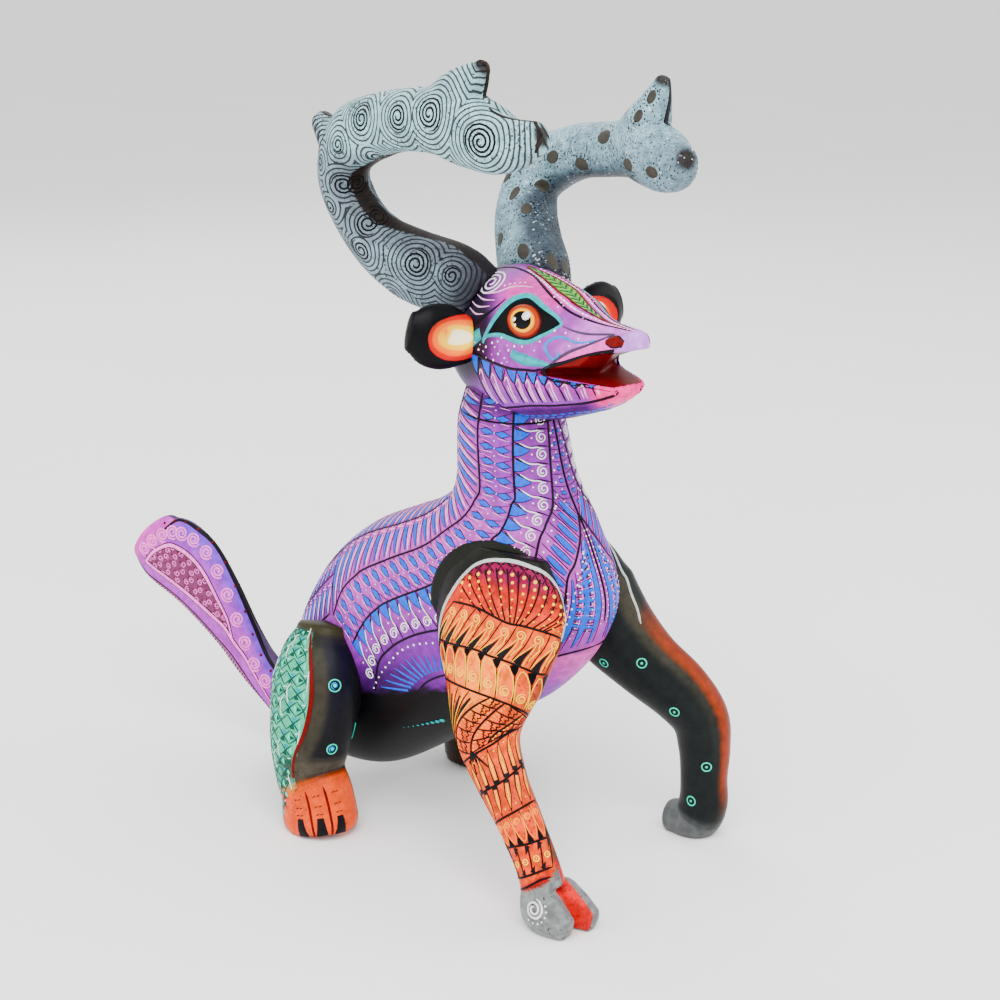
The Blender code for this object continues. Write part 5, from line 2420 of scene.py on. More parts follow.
    def eye(self, side: str, sign: int) -> bpy.types.Object:
        """The domed iris with its highlights painted as rings.

        Args:
            side: Starts the name of the eye.
            sign: -1 for the right side and 1 for the left.

        Returns:
            The iris.
        """
        rings, turns = 14, 48
        radius = np.linspace(0, 1, rings + 1)[1:]
        angle = np.linspace(0, 2 * math.pi, turns, endpoint=False)
        centre, across, up = np.array((-2.4, 169.4)), np.array((-5.4, 0.65)), np.array((2.8, 4.2))
        flat = (
            centre
            + np.outer(radius, np.cos(angle))[..., None] * across
            + np.outer(radius, np.sin(angle))[..., None] * up
        ).reshape(-1, 2)
        flat = np.concatenate([flat, [centre]])
        share = np.concatenate([np.repeat(radius, turns), [0.0]])
        base = self.lifted(flat, sign)
        middle = base[-1]
        rim = base[(rings - 1) * turns : rings * turns]
        out = unit(np.cross(rim[0] - middle, rim[turns // 4] - middle))
        heart = HEAD_PLACE.world(np.array((0.0, -2.4, 158.0)))
        out = out if np.dot(out, middle - heart) > 0 else -out
        raise_by = 0.1 + 0.75 * np.sqrt(np.clip(1 - share**2, 0, 1))
        front = base + out * raise_by[:, None]
        back = rim - out * 0.8
        points = np.concatenate([front, back, [middle - out * 0.8]])
        n = rings * turns
        faces = [(n, k, (k + 1) % turns) for k in range(turns)] + ring_faces(rings, turns, True)
        last, low = (rings - 1) * turns, n + 1
        faces += [(last + k, low + k, low + (k + 1) % turns, last + (k + 1) % turns) for k in range(turns)]
        faces += [(low + turns, low + (k + 1) % turns, low + k) for k in range(turns)]
        made = outwards(mesh_object(f"{side}_eye", points, faces))
        write_attribute(made, "ring", np.concatenate([share, np.ones(turns + 1)]))
        IRIS.dress(made)
        sparks = Brush(f"{side}_eye", made)
        for y, z, size in ((-3.3, 170.6, 1.45), (0.1, 169.3, 0.65), (-0.9, 167.9, 0.45)):
            sparks.dot(self.lifted(np.array([(y, z)]), sign)[0] + out * 0.8, size, Ink.WHITE, 1)
        for dots in sparks.lay():
            dots.parent = made
        return made


def outwards(obj: bpy.types.Object) -> bpy.types.Object:
    """Turns a closed mesh's faces outwards.

    Args:
        obj: A closed mesh object.

    Returns:
        The same object.
    """
    points = vertices(obj)
    volume = 0.0
    for face in obj.data.polygons:
        ids = face.vertices
        for k in range(1, len(ids) - 1):
            volume += np.dot(points[ids[0]], np.cross(points[ids[k]], points[ids[k + 1]]))
    if volume < 0:
        obj.data.flip_normals()
    return obj


def head_seat() -> bpy.types.Object:
    """The head made larger by the glue line, to cut the pieces that sit on it."""
    return UprightLoft(HEAD, (5 + GAP, 3 + GAP), HEAD_PLACE, grow=GAP).mesh("seat", 5, 64)


@dataclass
class Antler(Carving):
    """An antler of one beam, an upright tine and a back spur."""

    side: str = "right"
    beam: tuple = RIGHT_BEAM
    tine: tuple = RIGHT_TINE
    spur: tuple = RIGHT_SPUR

    def __post_init__(self) -> None:
        """Makes the three lofts."""
        across = (1, 0.35, 0) if self.side == "left" else (1, -0.35, 0)
        self.lofts = [
            SpineLoft(rows, reach, HEAD_PLACE, square=2.5, side_axis=across)
            for rows, reach in ((self.beam, (2, 2.6)), (self.tine, (3, 1.6)), (self.spur, (2, 1.8)))
        ]

    def shape(self) -> bpy.types.Object:
        """Beam, tine and spur melted into one, seated on the head.

        Returns:
            The carved mesh.
        """
        parts = [loft.mesh(f"{self.name}_{k}", 8, 56) for k, loft in enumerate(self.lofts)]
        antler = carve(joined(self.name, parts), 0.5, [head_seat()], 3)
        if self.side == "right":
            write_attribute(antler, "flow", self.flow(vertices(antler)))
        return antler

    def finish(self) -> Finish:
        """Spirals on the right antler, spots on the left one."""
        return SPIRAL_ANTLER_GROUND if self.side == "right" else SPOTTED_ANTLER_GROUND

    def curls(self) -> list[tuple[np.ndarray, np.ndarray, np.ndarray, float]]:
        """The frames and radii of the spirals, on both faces.

        Returns:
            Centre, two unit directions and radius of each.
        """
        spots = (
            (6.75, 172, 4.3), (7.58, 174, 3.9), (8.33, 160, 5), (9.75, 168, 5.4), (6.08, 202, 2.1),
            (5.25, 188, 1.8),
            (6.67, 258, 2.9), (4.83, 254, 3.6), (4.25, 200, 2.5), (3.42, 284, 3.6), (3.08, 198, 3.6),
            (1.75, 212, 4.3),
            (0.75, 220, 2.5), (2.17, 136, 2.9),
        )
        return [
            (*frame_at(self.lofts[0], t, a), radius)
            for t, a, radius in spots + tuple((t, 180 - a, radius) for t, a, radius in spots)
        ]

    def flow(self, points: np.ndarray) -> np.ndarray:
        """How far each point is outside the nearest spiral, in millimetres."""
        away = [np.linalg.norm(points - here, axis=1) - radius for here, _, _, radius in self.curls()]
        return np.maximum(np.min(away, axis=0), 0)

    def ground(self, points: np.ndarray) -> np.ndarray:
        """Pale grey-mint, darker on the inner curve, dark along the tips' edges and at the root.

        Args:
            points: Points in the object's frame, in millimetres.

        Returns:
            Linear colours, one row for each point.
        """
        t, a = self.lofts[0].chart_of(points)
        tips = np.min(
            [
                np.linalg.norm(points - loft.at(np.array(loft.last + 0.8), np.array(0.0)), axis=1)
                for loft in self.lofts
            ],
            axis=0
        )
        if self.side == "right":
            colour = plain(tone(168, 192, 196), t)
            colour = mix(colour, tone(132, 142, 150), smooth(t, 6.4, 5.2) * 0.7)
            colour = mix(colour, tone(112, 118, 128), smooth(t, 2.6, 0.8) * 0.6)
            colour = mix(
                colour, tone(100, 100, 108), smooth(np.abs(a - 280), 70, 40) * smooth(t, 7.5, 5.5) * 0.5
            )
            colour = mix(colour, tone(50, 42, 38), smooth(np.abs(a - 290), 24, 20) * smooth(t, 8.6, 8.0))
        else:
            colour = plain(tone(150, 172, 180), t)
            under = smooth(np.abs(a - 270), 75, 35) * smooth(t, 9.8, 8.6)
            colour = mix(colour, tone(60, 60, 68), under * 0.8)
            colour = mix(colour, tone(112, 124, 134), smooth(t, 9, 11) * 0.6)
        colour = mix(colour, tone(58, 52, 50), smooth(tips, 4.2, 2.2) * 0.95)
        return mix(colour, tone(44, 42, 50), smooth(t, 1.1, 0.1) * 0.8)

    def paint(self, wood: bpy.types.Object) -> list[bpy.types.Object]:
        """Spirals and dark edges, or ringed spots.

        Args:
            wood: The carved wood.

        Returns:
            The paint's objects.
        """
        brush = Brush(self.name, wood)
        if self.side == "right":
            self.paint_edges(brush)
            self.paint_spirals(brush)
        else:
            self.paint_spots(brush)
        return brush.lay()

    def paint_spirals(self, brush: Brush) -> None:
        """The spirals and the bars on the spur.

        Args:
            brush: The brush.
        """
        for number, (here, u, v, radius) in enumerate(self.curls()):
            turns = radius / FLOW_PITCH * 0.92
            curl = spiral_in((here, u, v), radius, turns, 40 * number, 1 if number % 2 else -1)
            brush.stroke(curl, 0.25 + 0.02 * radius, Ink.BLACK, 2)
        spur = self.lofts[2]
        for place in (tuple, flipped):
            for k in range(5):
                t = 0.8 + 0.32 * k
                brush.stroke(
                    trace(spur, place(((t, 120), (t + 0.1, 170), (t, 220)))), (0.2, 0.5, 0.15), Ink.BLACK,
                    2
                )

    def paint_edges(self, brush: Brush) -> None:
        """Dark brown lines along the sharp edges of the tips.

        Args:
            brush: The brush.
        """
        beam, tine, spur = self.lofts
        for loft, path in (
            (beam, ((9.5, 100), (9.9, 104), (10.5, 106), (11.1, 108), (11.6, 120))),
            (beam, ((11.0, 250), (11.5, 230), (11.8, 200))),
            (tine, ((0.9, 300), (1.7, 305), (2.5, 305), (3.2, 305), (3.7, 300))),
            (tine, ((3.0, 150), (3.4, 140), (3.8, 130))),
            (spur, ((1.2, 286), (1.8, 280), (2.5, 275))),
        ):
            brush.stroke(trace(loft, path, 0.6), (0.3, 0.85, 0.95, 0.7), Ink.UMBER, 2.6)

    def paint_spots(self, brush: Brush) -> None:
        """Brown-grey ovals in rings of black dots.

        Args:
            brush: The brush.
        """
        beam, tine, _ = self.lofts
        spots = [
            (beam, t, a)
            for t, a in (
                (5.67, 178), (6.67, 206), (2.33, 228), (0.92, 210), (7.58, 152), (10.08, 190), (8.75, 202),
                (3.92, 136), (1.92, 166), (0.5, 254), (4.6, 216), (3.2, 190),
            )
        ] + [(tine, 2.25, 178), (tine, 1.42, 170)]
        spots += [(loft, t, 180 - a) for loft, t, a in spots] + [
            (beam, 2.6, 90), (beam, 5.2, 92), (beam, 8.2, 88)
        ]
        for number, (loft, t, a) in enumerate(spots):
            here, u, v = frame_at(loft, t, a)
            size = 1.7 if loft is tine else 2.4 + 0.3 * math.sin(number * 2.1)
            line = here + u * np.linspace(-1.25, 1.25, 9)[:, None] * size
            round_shape = np.sqrt(np.clip(1 - np.linspace(-1, 1, 9) ** 2, 0.003, 1))
            brush.stroke(line, round_shape * size * 0.85, Ink.SPOT, 1.2)
            count = 14
            for k in range(count):
                angle = 2 * math.pi * k / count
                reach = 1.32 + 0.08 * math.sin(5 * k + number)
                spot = here + (u * math.cos(angle) * 1.22 + v * math.sin(angle)) * size * reach
                brush.dot(spot, 0.3 if k % 2 else 0.22, Ink.SOFT_BLACK, 1.6)
        brush.stroke(
            trace(tine, ((3.3, 300), (2.4, 285), (1.6, 262), (0.9, 258))), (0.5, 1.0, 1.1, 0.5),
            Ink.SOFT_BLACK, 2
        )


@dataclass
class Ear(Carving):
    """A dished ear with a flame of paint in it."""

    side: str = "right"
    rows: tuple = EAR
    offset: tuple[float, float, float] = (0, 0, 0)

    def __post_init__(self) -> None:
        """Mirrors the rows for the left ear and makes the loft."""
        self.way = 1 if self.side == "right" else -1
        move = self.offset
        rows = [(self.way * x + move[0], y + move[1], z + move[2], *half) for x, y, z, *half in self.rows]
        self.loft = SpineLoft(rows, (1.5, 2.6), HEAD_PLACE, side_axis=(0, 1, 0))

    def shape(self) -> bpy.types.Object:
        """The ear, hollowed in front and seated on the head.

        Returns:
            The carved mesh.
        """
        centre, radii = EAR_DISH
        middle = np.array((self.way * centre[0], centre[1], centre[2])) + np.array(self.offset)
        ear = carve(self.loft.mesh(self.name, 12, 72), 0, [ellipsoid(middle, radii, HEAD_PLACE)])
        ear = carve(carve(ear, 0.4), 0, [head_seat()])
        write_attribute(ear, "ring", self.rings(vertices(ear)))
        return ear

    def own(self, points: np.ndarray) -> np.ndarray:
        """Points as if on the right ear, in the head's own frame."""
        return (HEAD_PLACE.local(points) - np.array(self.offset)) * (self.way, 1, 1)

    def rings(self, points: np.ndarray) -> np.ndarray:
        """0 in the flame's heart, rising to 1 at the rim and behind.

        Args:
            points: Points in the object's frame, in millimetres.

        Returns:
            One number for each point.
        """
        x, y, z = self.own(points).T
        ring = np.hypot((x + 22.5) / np.where(x < -22.5, 13.2, 16), (z - 162.6) / 8.6)
        behind = smooth(y - np.interp(-x, [12, 25, 35], [19, 20, 22]), -1.2, 0.4)
        return np.clip(ring * (1 - behind) + 1.2 * behind, 0, 1.2)

    def ground(self, points: np.ndarray) -> np.ndarray:
        """Black; the flame comes from the rings."""
        return plain(NIGHT, points)

    def finish(self) -> Finish:
        """The flame."""
        return FLAME

    def paint(self, wood: bpy.types.Object) -> list[bpy.types.Object]:
        """Light blue dots on the back.

        Args:
            wood: The carved wood.

        Returns:
            The paint's objects.
        """
        brush = Brush(self.name, wood)
        for row, a in enumerate((18, 52, 344, 312, 78, 288)):
            for k in range(6):
                t = 0.9 + 0.6 * k + 0.25 * (row % 2)
                spot = self.loft.at(np.array(t), np.array(float(a)))
                brush.dot(spot, 0.42 - 0.04 * (row % 3), Ink.SKY, 2)
        return brush.lay()


TAIL_EDGE = (
    (7.75, 150), (7.6, 108), (6.8, 104), (6, 96), (5.4, 96), (4.75, 100), (3.9, 106), (2.7, 128),
    (1.4, 140)
)
CORD_TOP = (
    (7.33, 218), (7.33, 192), (7.1, 168), (6.7, 160), (6.25, 158), (5.75, 160), (5.25, 166), (4.75, 172),
    (4.4, 188),
)
CORD_FOOT = (
    (7.33, 220), (6.75, 214), (6.1, 210), (5.4, 200), (4.8, 188), (4.4, 186), (3.7, 182), (2.4, 206)
)
TAIL_FOOT = ((8.1, 262), (7.7, 256), (6.7, 240), (5.75, 234), (5, 228), (4, 214), (2.3, 244), (1.2, 250))


@dataclass
class Tail(Carving):
    """The paddle-shaped tail."""

    rows: tuple = TAIL
    reach: tuple[float, float] = (2, 4.5)

    def __post_init__(self) -> None:
        """Makes the loft."""
        self.loft = EdgeLoft(self.rows, self.reach, TAIL_PLACE)

    def shape(self) -> bpy.types.Object:
        """The tail, seated on the body."""
        seat = EdgeLoft(BODY, (4 + GAP, 3 + GAP), grow=GAP).mesh("seat", 6, 96)
        return carve(self.loft.mesh(self.name, 14, 128), 0, [seat])

    def ground(self, points: np.ndarray) -> np.ndarray:
        """Violet to pink, a maroon panel, grey edges.

        Args:
            points: Points in the object's frame, in millimetres.

        Returns:
            Linear colours, one row for each point.
        """
        t, a = self.loft.chart_of(points)
        a = np.where(a > 270, 540 - a, np.where(a < 90, 180 - a, a))
        chart = np.stack([t, a], -1)
        colour = plain(tone(128, 86, 188), t)
        edge = np.interp(-t, [-7.6, -6.8, -6, -5.4, -4.75, -3.9, -2.7], [108, 104, 96, 96, 100, 106, 128])
        foot = np.interp(-t, [-7.7, -6.7, -5.75, -5, -4, -2.3], [256, 240, 234, 228, 214, 244])
        colour = mix(colour, tone(178, 92, 180), smooth((a - edge) / (foot - edge), 0.12, 0.5) * 0.85)
        colour = mix(colour, tone(200, 104, 180), smooth(t, 7.2, 7.9) * 0.8)
        panel = inside(chart, [*CORD_TOP, *CORD_FOOT[-3::-1]])
        colour = mix(colour, tone(128, 78, 108), panel)
        colour = mix(colour, tone(168, 108, 150), smooth(a - foot, -1.5, 1.5))
        colour = mix(colour, tone(92, 78, 104), smooth(edge - a, -1.5, 1.5))
        return mix(colour, tone(60, 48, 70), smooth(t, 1.2, 0.3) * 0.7)

    def paint(self, wood: bpy.types.Object) -> list[bpy.types.Object]:
        """Both faces.

        Args:
            wood: The carved wood.

        Returns:
            The paint's objects.
        """
        made = []
        for side, place in (("right", tuple), ("left", flipped)):
            brush = Brush(f"{self.name}_{side}", wood)
            self.paint_borders(brush, place)
            self.paint_curls(brush, place)
            self.paint_panel(brush, place)
            made += brush.lay()
        return made

    def paint_borders(self, brush: Brush, place: Callable[[Path], Path]) -> None:
        """The edge lines, the pink cord and the hatched strip.

        Args:
            brush: The brush.
            place: Moves a chart path of the right side to the side being painted.
        """
        loft = self.loft
        brush.stroke(
            trace(loft, place(TAIL_EDGE)), (0.4, 0.75, 0.9, 0.9, 0.9, 0.7, 0.4), Ink.SOFT_BLACK, 2.5
        )
        brush.stroke(trace(loft, place(TAIL_FOOT)), 0.34, Ink.SOFT_BLACK, 2.6)
        for path in (CORD_TOP, CORD_FOOT):
            line = trace(loft, place(path))
            brush.stroke(line, (0.9, 1.15, 1.0, 0.6), Ink.SOFT_BLACK, 1.6)
            brush.stroke(line, (0.6, 0.8, 0.65, 0.3), Ink.PINK, 2.6)
            brush.dots_along(trace(loft, place(path), 0.4), 1.15, (0.26, 0.3, 0.22), Ink.BLUSH, 3)
        low = [(t, a + 4) for t, a in TAIL_FOOT[1:]]
        rim = [(t, 272) for t, _ in TAIL_FOOT[1:]]
        band = Band(loft, place(low), place(rim), 1.3, 0.5)
        for cell, _ in cells_of(brush, band):
            cell.stroke([(0.2, 0.05), (0.5, 0.95)], 0.26, Ink.SOFT_BLACK, 2)
            cell.stroke([(0.7, 0.2), (0.95, 0.8)], 0.16, Ink.BLUSH, 2.2)

    def paint_curls(self, brush: Brush, place: Callable[[Path], Path]) -> None:
        """The row of linked pink curls with dark dots over them.

        Args:
            brush: The brush.
            place: Moves a chart path of the right side to the side being painted.
        """
        spots = (
            (7.75, 206), (7.75, 182), (7.6, 160), (7.36, 145), (7.05, 137), (6.6, 131), (6.08, 130),
            (5.55, 133), (5.02, 140), (4.5, 148), (4, 158), (3.45, 168), (2.85, 172), (2.2, 176),
        )
        before = None
        for number, (t, a) in enumerate(spots):
            ((t, a),) = place(((t, a),))
            here, u, v = frame_at(self.loft, t, a)
            way = 1 if place is flipped else -1
            curl = spiral_in((here, u, v), 2.7, 2.1, 180 if number > 3 else 150, way)
            tail = [] if before is None else [(before * 0.6 + curl[0] * 0.4)]
            brush.stroke(np.concatenate([np.array(tail).reshape(-1, 3), curl]), 0.36, Ink.PINK, 2.6)
            before = here - u * 2.7
            if number > 1:
                dark = here - v * (-4.1 if place is flipped else 4.1) + u * 1.2
                brush.dot(dark, 0.5, Ink.OXBLOOD, 1.6)

    def paint_panel(self, brush: Brush, place: Callable[[Path], Path]) -> None:
        """Rings and dark dots in the panel.

        Args:
            brush: The brush.
            place: Moves a chart path of the right side to the side being painted.
        """
        outline = [*CORD_TOP, *CORD_FOOT[-3::-1]]
        grid = [
            (t + 0.09 * (row % 2), a) for row,
            a in enumerate(range(166, 216, 9)) for t in np.arange(4.5, 7.3, 0.3)
        ]
        keep = inside(np.array([(t + (190 - a) * 0.003, a) for t, a in grid]), outline)
        for number, (t, a) in enumerate(grid):
            if not keep[number]:
                continue
            ((t, a),) = place(((t, a),))
            here, u, v = frame_at(self.loft, t, a)
            brush.stroke(spiral_in((here, u, v), 1.15, 1.3, 70.0 * number, 1), 0.17, Ink.PINK, 1.5)
            brush.dot(here + u * 1.5, 0.3, Ink.OXBLOOD, 1.5)
            brush.dot(here + v * 1.3, 0.18, Ink.SOFT_BLACK, 1.5)


LEG_LINES = (
    ((1.9, 208), (1.9, 180), (2.2, 152), (2.25, 136), (2.5, 100), (2.6, 84)),
    ((2.9, 236), (3.2, 182), (3.5, 158), (3.8, 110), (3.8, 80)),
    ((4.3, 244), (4.5, 182), (4.7, 130), (5.1, 60)),
    ((6.3, 230), (6.3, 194), (6.25, 148), (6.1, 118), (5.5, 70)),
    ((7.1, 236), (7.1, 194), (7.1, 132), (6.8, 56)),
    ((7.9, 240), (7.9, 198), (7.9, 134), (7.8, 66)),
    ((8.5, 240), (8.5, 198), (8.6, 134), (8.6, 70)),
    ((9.3, 240), (9.3, 200), (9.25, 126), (9.25, 96)),
    ((9.9, 240), (9.7, 190), (9.5, 144), (9.5, 110)),
)
PALE_ARC = (
    (3, 238), (2.3, 224), (1.7, 213), (1.05, 206), (0.5, 197), (0.05, 176), (-0.08, 150), (0.05, 120),
    (0.4, 97),
    (1.05, 78), (1.6, 76), (2.7, 82),
)


@dataclass
class Leg(Carving):
    """A leg: a loft standing on the floor, with toes if it has a cloven hoof."""

    rows: tuple = RIGHT_FRONT_LEG
    reach: tuple[float, float] = (5, 2)
    toes: tuple = ()
    way: int = 1

    def __post_init__(self) -> None:
        """Makes the lofts, mirrored for the left hind leg."""
        rows = [(self.way * x, *rest) for x, *rest in self.rows]
        self.loft = SpineLoft(rows, self.reach, floor=True)
        self.toe_lofts = [SpineLoft(toe, (2, 1.8), floor=True) for toe in self.toes]

    def shape(self) -> bpy.types.Object:
        """The leg, with its toes melted on.

        Returns:
            The carved mesh.
        """
        leg = self.loft.mesh(self.name, 12, 112)
        if not self.toes:
            return leg
        parts = [leg, *(toe.mesh("toe", 8, 40) for toe in self.toe_lofts)]
        return carve(joined(self.name, parts), 0.5)

    def ring_at(self, brush: Brush, t: float, a: float, radius: float = 1.5, ink: Ink = Ink.MINT) -> None:
        """A ring with a dot in it."""
        Motif.ring(brush, frame_at(self.loft, t, a), radius, ink)


@dataclass
class HoofedFrontLeg(Leg):
    """The right front leg, orange and magenta, with a cloven grey hoof."""

    def finish(self) -> Finish:
        """Satin paint with a few dark specks."""
        return SpongedPaint("ember_ground", roughness=0.38, mottle=0.34, dark=0.2)

    def ground(self, points: np.ndarray) -> np.ndarray:
        """Olive-black border, magenta to orange field, smoky inner edge, grey hoof with a red cleft.

        Args:
            points: Points in the object's frame, in millimetres.

        Returns:
            Linear colours, one row for each point.
        """
        t, a = self.loft.chart_of(points)
        out = np.abs((a - 155 + 180) % 360 - 180)
        colour = plain(tone(216, 112, 8), t)
        colour = mix(
            colour, tone(238, 150, 10), smooth(np.hypot((t - 4.2) / 1.4, (a - 170) / 40), 1.2, 0.3) * 0.8
        )
        colour = mix(colour, tone(200, 76, 36), smooth(t, 2.4, 1.6))
        colour = mix(colour, tone(132, 34, 82), smooth(t, 1.6, 0.6))
        colour = mix(colour, tone(140, 66, 24), smooth(out, 52, 76) * smooth(t, 5.5, 4.5) * 0.75)
        colour = mix(colour, tone(192, 84, 2), smooth(t, 5, 8) * 0.6)
        lo = np.interp(t, [-0.08, 0.05, 0.4, 1.05, 1.6, 2.7, 3.5], [150, 120, 97, 77, 75, 80, 66])
        hi = np.interp(
            t, [-0.08, 0.05, 0.5, 1.05, 1.7, 2.3, 3, 4], [150, 176, 197, 206, 213, 224, 240, 266]
        )
        outside = np.maximum(smooth(lo - a, -1, 2), smooth(a - hi, -1, 2)) * smooth(t, 3.6, 3.2)
        outside = np.maximum(outside, smooth(t, 0.0, -0.15))
        colour = mix(colour, tone(38, 38, 34), outside)
        inner = np.minimum(np.abs(a - 10), np.abs(a - 370))
        smoky = smooth(inner, 62, 40) * smooth(t, 3.2, 4)
        colour = mix(colour, tone(70, 60, 58), smoky * 0.9)
        colour = mix(colour, tone(80, 76, 74), smooth(np.abs(a - 60), 40, 15) * smooth(t, 8.2, 9.2) * 0.9)
        cuff = np.interp(np.where(a > 270, 90, a), [90, 126, 224, 270], [9.3, 9.6, 9.95, 9.95])
        colour = mix(
            colour, tone(150, 46, 22), smooth(t - cuff, -0.35, -0.15) * smooth(np.abs(a - 180), 80, 60)
        )
        hoof = smooth(t - cuff, 0.0, 0.12)
        hoof = np.maximum(hoof, smooth(points[:, 2], 8, 6.5))
        colour = mix(colour, tone(134, 136, 136), hoof)
        gap_x = np.interp(points[:, 1] - SHIFT_Y, [-40, -26], [-36.6, -37.2])
        cleft = (
            smooth(points[:, 1] - SHIFT_Y, -27.5, -29) * (points[:, 0] > gap_x - 0.2)
            * smooth(points[:, 0], -33.1, -33.9)
        )
        return mix(colour, tone(196, 40, 22), np.clip(cleft, 0, 1) * smooth(points[:, 2], 0.3, 0.9))

    def paint(self, wood: bpy.types.Object) -> list[bpy.types.Object]:
        """The shoulder's fan, the bands down the leg and the hoof's curl.

        Args:
            wood: The carved wood.

        Returns:
            The paint's objects.
        """
        brush = Brush(self.name, wood)
        loft = self.loft
        self.paint_shoulder(brush)
        for path in LEG_LINES:
            brush.stroke(trace(loft, path), 0.36, Ink.BLACK, 3)
        Motif.spiral_teeth(brush, Band(loft, LEG_LINES[0], LEG_LINES[1], 5.4, 0.3), Ink.YELLOW)
        Motif.round_petals(brush, Band(loft, LEG_LINES[1], LEG_LINES[2], 5.4, 0.1), Ink.YELLOW)
        self.paint_knee(brush)
        Motif.leaf_rows(brush, Band(loft, LEG_LINES[3], LEG_LINES[4], 3.6, 0.2), Ink.YELLOW)
        Motif.leaf_rows(brush, Band(loft, LEG_LINES[5], LEG_LINES[4], 3.4, -0.3), Ink.YELLOW)
        Motif.round_petals(brush, Band(loft, LEG_LINES[6], LEG_LINES[5], 3.6, 0.1), Ink.APRICOT)
        cells = Band(loft, LEG_LINES[7], LEG_LINES[6], 3.8)
        Motif.separators(brush, cells, 0.26)
        for cell, _ in cells_of(brush, cells):
            Motif.ring(brush, cell.frame(0.5, 0.5), 0.8, Ink.YELLOW)
            for x, y in ((0.02, 0.95), (0.98, 0.05)):
                spots = [(x, y), (0.5 + (x - 0.5) * 0.5, 0.5 + (y - 0.5) * 0.5)]
                cell.stroke(spots, (0.9, 0.1), Ink.SOFT_BLACK, 1.8)
        self.paint_hoof(brush)
        return brush.lay()

    def paint_shoulder(self, brush: Brush) -> None:
        """Pointed petals with rows of yellow dots, under a pale arc.

        Args:
            brush: The brush.
        """
        loft = self.loft
        brush.stroke(trace(loft, PALE_ARC), 0.62, Ink.PALE, 3.2)
        heart, count = (2.15, 146.0), 13
        base = read_rows(LEG_LINES[0], np.linspace(0.3, 4.6, count + 1))
        rim = read_rows(PALE_ARC, np.linspace(2.6, 10.2, count + 1))
        for k in range(count + 1):
            root = np.array(heart) + (base[k] - np.array(heart)) * 0.55
            tip = rim[k] + (root - rim[k]) * 0.2
            brush.stroke(trace(loft, (root, tip)), (0.26, 0.22, 0.3), Ink.BLACK, 2)
            if k == count:
                break
            mid_root = (base[k] + base[k + 1]) / 2
            mid_tip = (rim[k] + rim[k + 1]) / 2
            row = trace(
                loft, (mid_root + (mid_tip - mid_root) * 0.12, mid_root + (mid_tip - mid_root) * 0.72),
                0.4
            )
            brush.dots_along(row, 2.1, (0.28, 0.42, 0.62), Ink.YELLOW)
            peak = mid_root + (mid_tip - mid_root) * 0.86
            for side in (rim[k], rim[k + 1]):
                brush.stroke(trace(loft, (side + (mid_root - side) * 0.3, peak)), 0.22, Ink.BLACK, 2)
                brush.stroke(
                    trace(loft, (side + (mid_root - side) * 0.06, peak, peak * 0.3 + side * 0.7)), 0.34,
                    Ink.SOFT_BLACK, 1.7
                )

    def paint_knee(self, brush: Brush) -> None:
        """Stepped frets across the knee, with a star of black lines.

        Args:
            brush: The brush.
        """
        loft = self.loft
        across = (
            ((4.62, 150), (5.4, 196), (6.0, 222)),
            ((4.68, 128), (5.6, 160), (6.25, 178)),
            ((5.0, 90), (5.7, 120), (6.15, 140)),
        )
        for path in across:
            brush.stroke(trace(loft, path), 0.34, Ink.BLACK, 3)
        Motif.frets(brush, Band(loft, across[0], across[1], 3.4))
        Motif.frets(brush, Band(loft, across[1], across[2], 3.2))
        Motif.frets(brush, Band(loft, across[2], ((5.15, 64), (5.6, 80), (5.85, 96)), 3.4))
        fan = Band(loft, ((4.42, 236), (4.5, 200), (4.6, 160)), ((6.2, 236), (5.9, 228), (5.5, 204)), 3.2)
        for cell, _ in cells_of(brush, fan):
            cell.stroke([(0, 0), (0, 1)], 0.22, Ink.BLACK, 2.4)
            cell.stroke([(0.5, 0.2), (0.5, 0.55), (0.5, 0.85)], (0.2, 0.75, 0.3), Ink.SOFT_BLACK, 2)
            cell.stroke([(0.8, 0.1), (0.82, 0.9)], 0.14, Ink.YELLOW, 2.5)
        for a in (150, 168, 186, 204):
            brush.stroke(trace(loft, ((6.2, 176), (6.7, a))), (0.5, 0.2), Ink.BLACK, 2.6)

    def paint_hoof(self, brush: Brush) -> None:
        """A white curl with dots round its lower side.

        Args:
            brush: The brush.
        """
        toe = self.toe_lofts[0]
        here, u, v = frame_at(toe, 1.35, 168)
        up = np.array((0.0, 0.0, 1.0))
        across = unit(np.cross(up, np.cross(u, v)))
        flat_up = unit(np.cross(np.cross(u, v), across))
        flat_up = flat_up if flat_up[2] > 0 else -flat_up
        brush.stroke(
            spiral_in((here + flat_up * 0.8, across, flat_up), 3.3, 2.0, 90, 1), 0.32, Ink.WHITE, 2
        )
        for k in range(7):
            angle = math.radians(150 + 24 * k)
            spot = here + flat_up * 0.8 + (across * math.cos(angle) + flat_up * math.sin(angle)) * 4.4
            brush.dot(spot, 0.34, Ink.WHITE, 2)


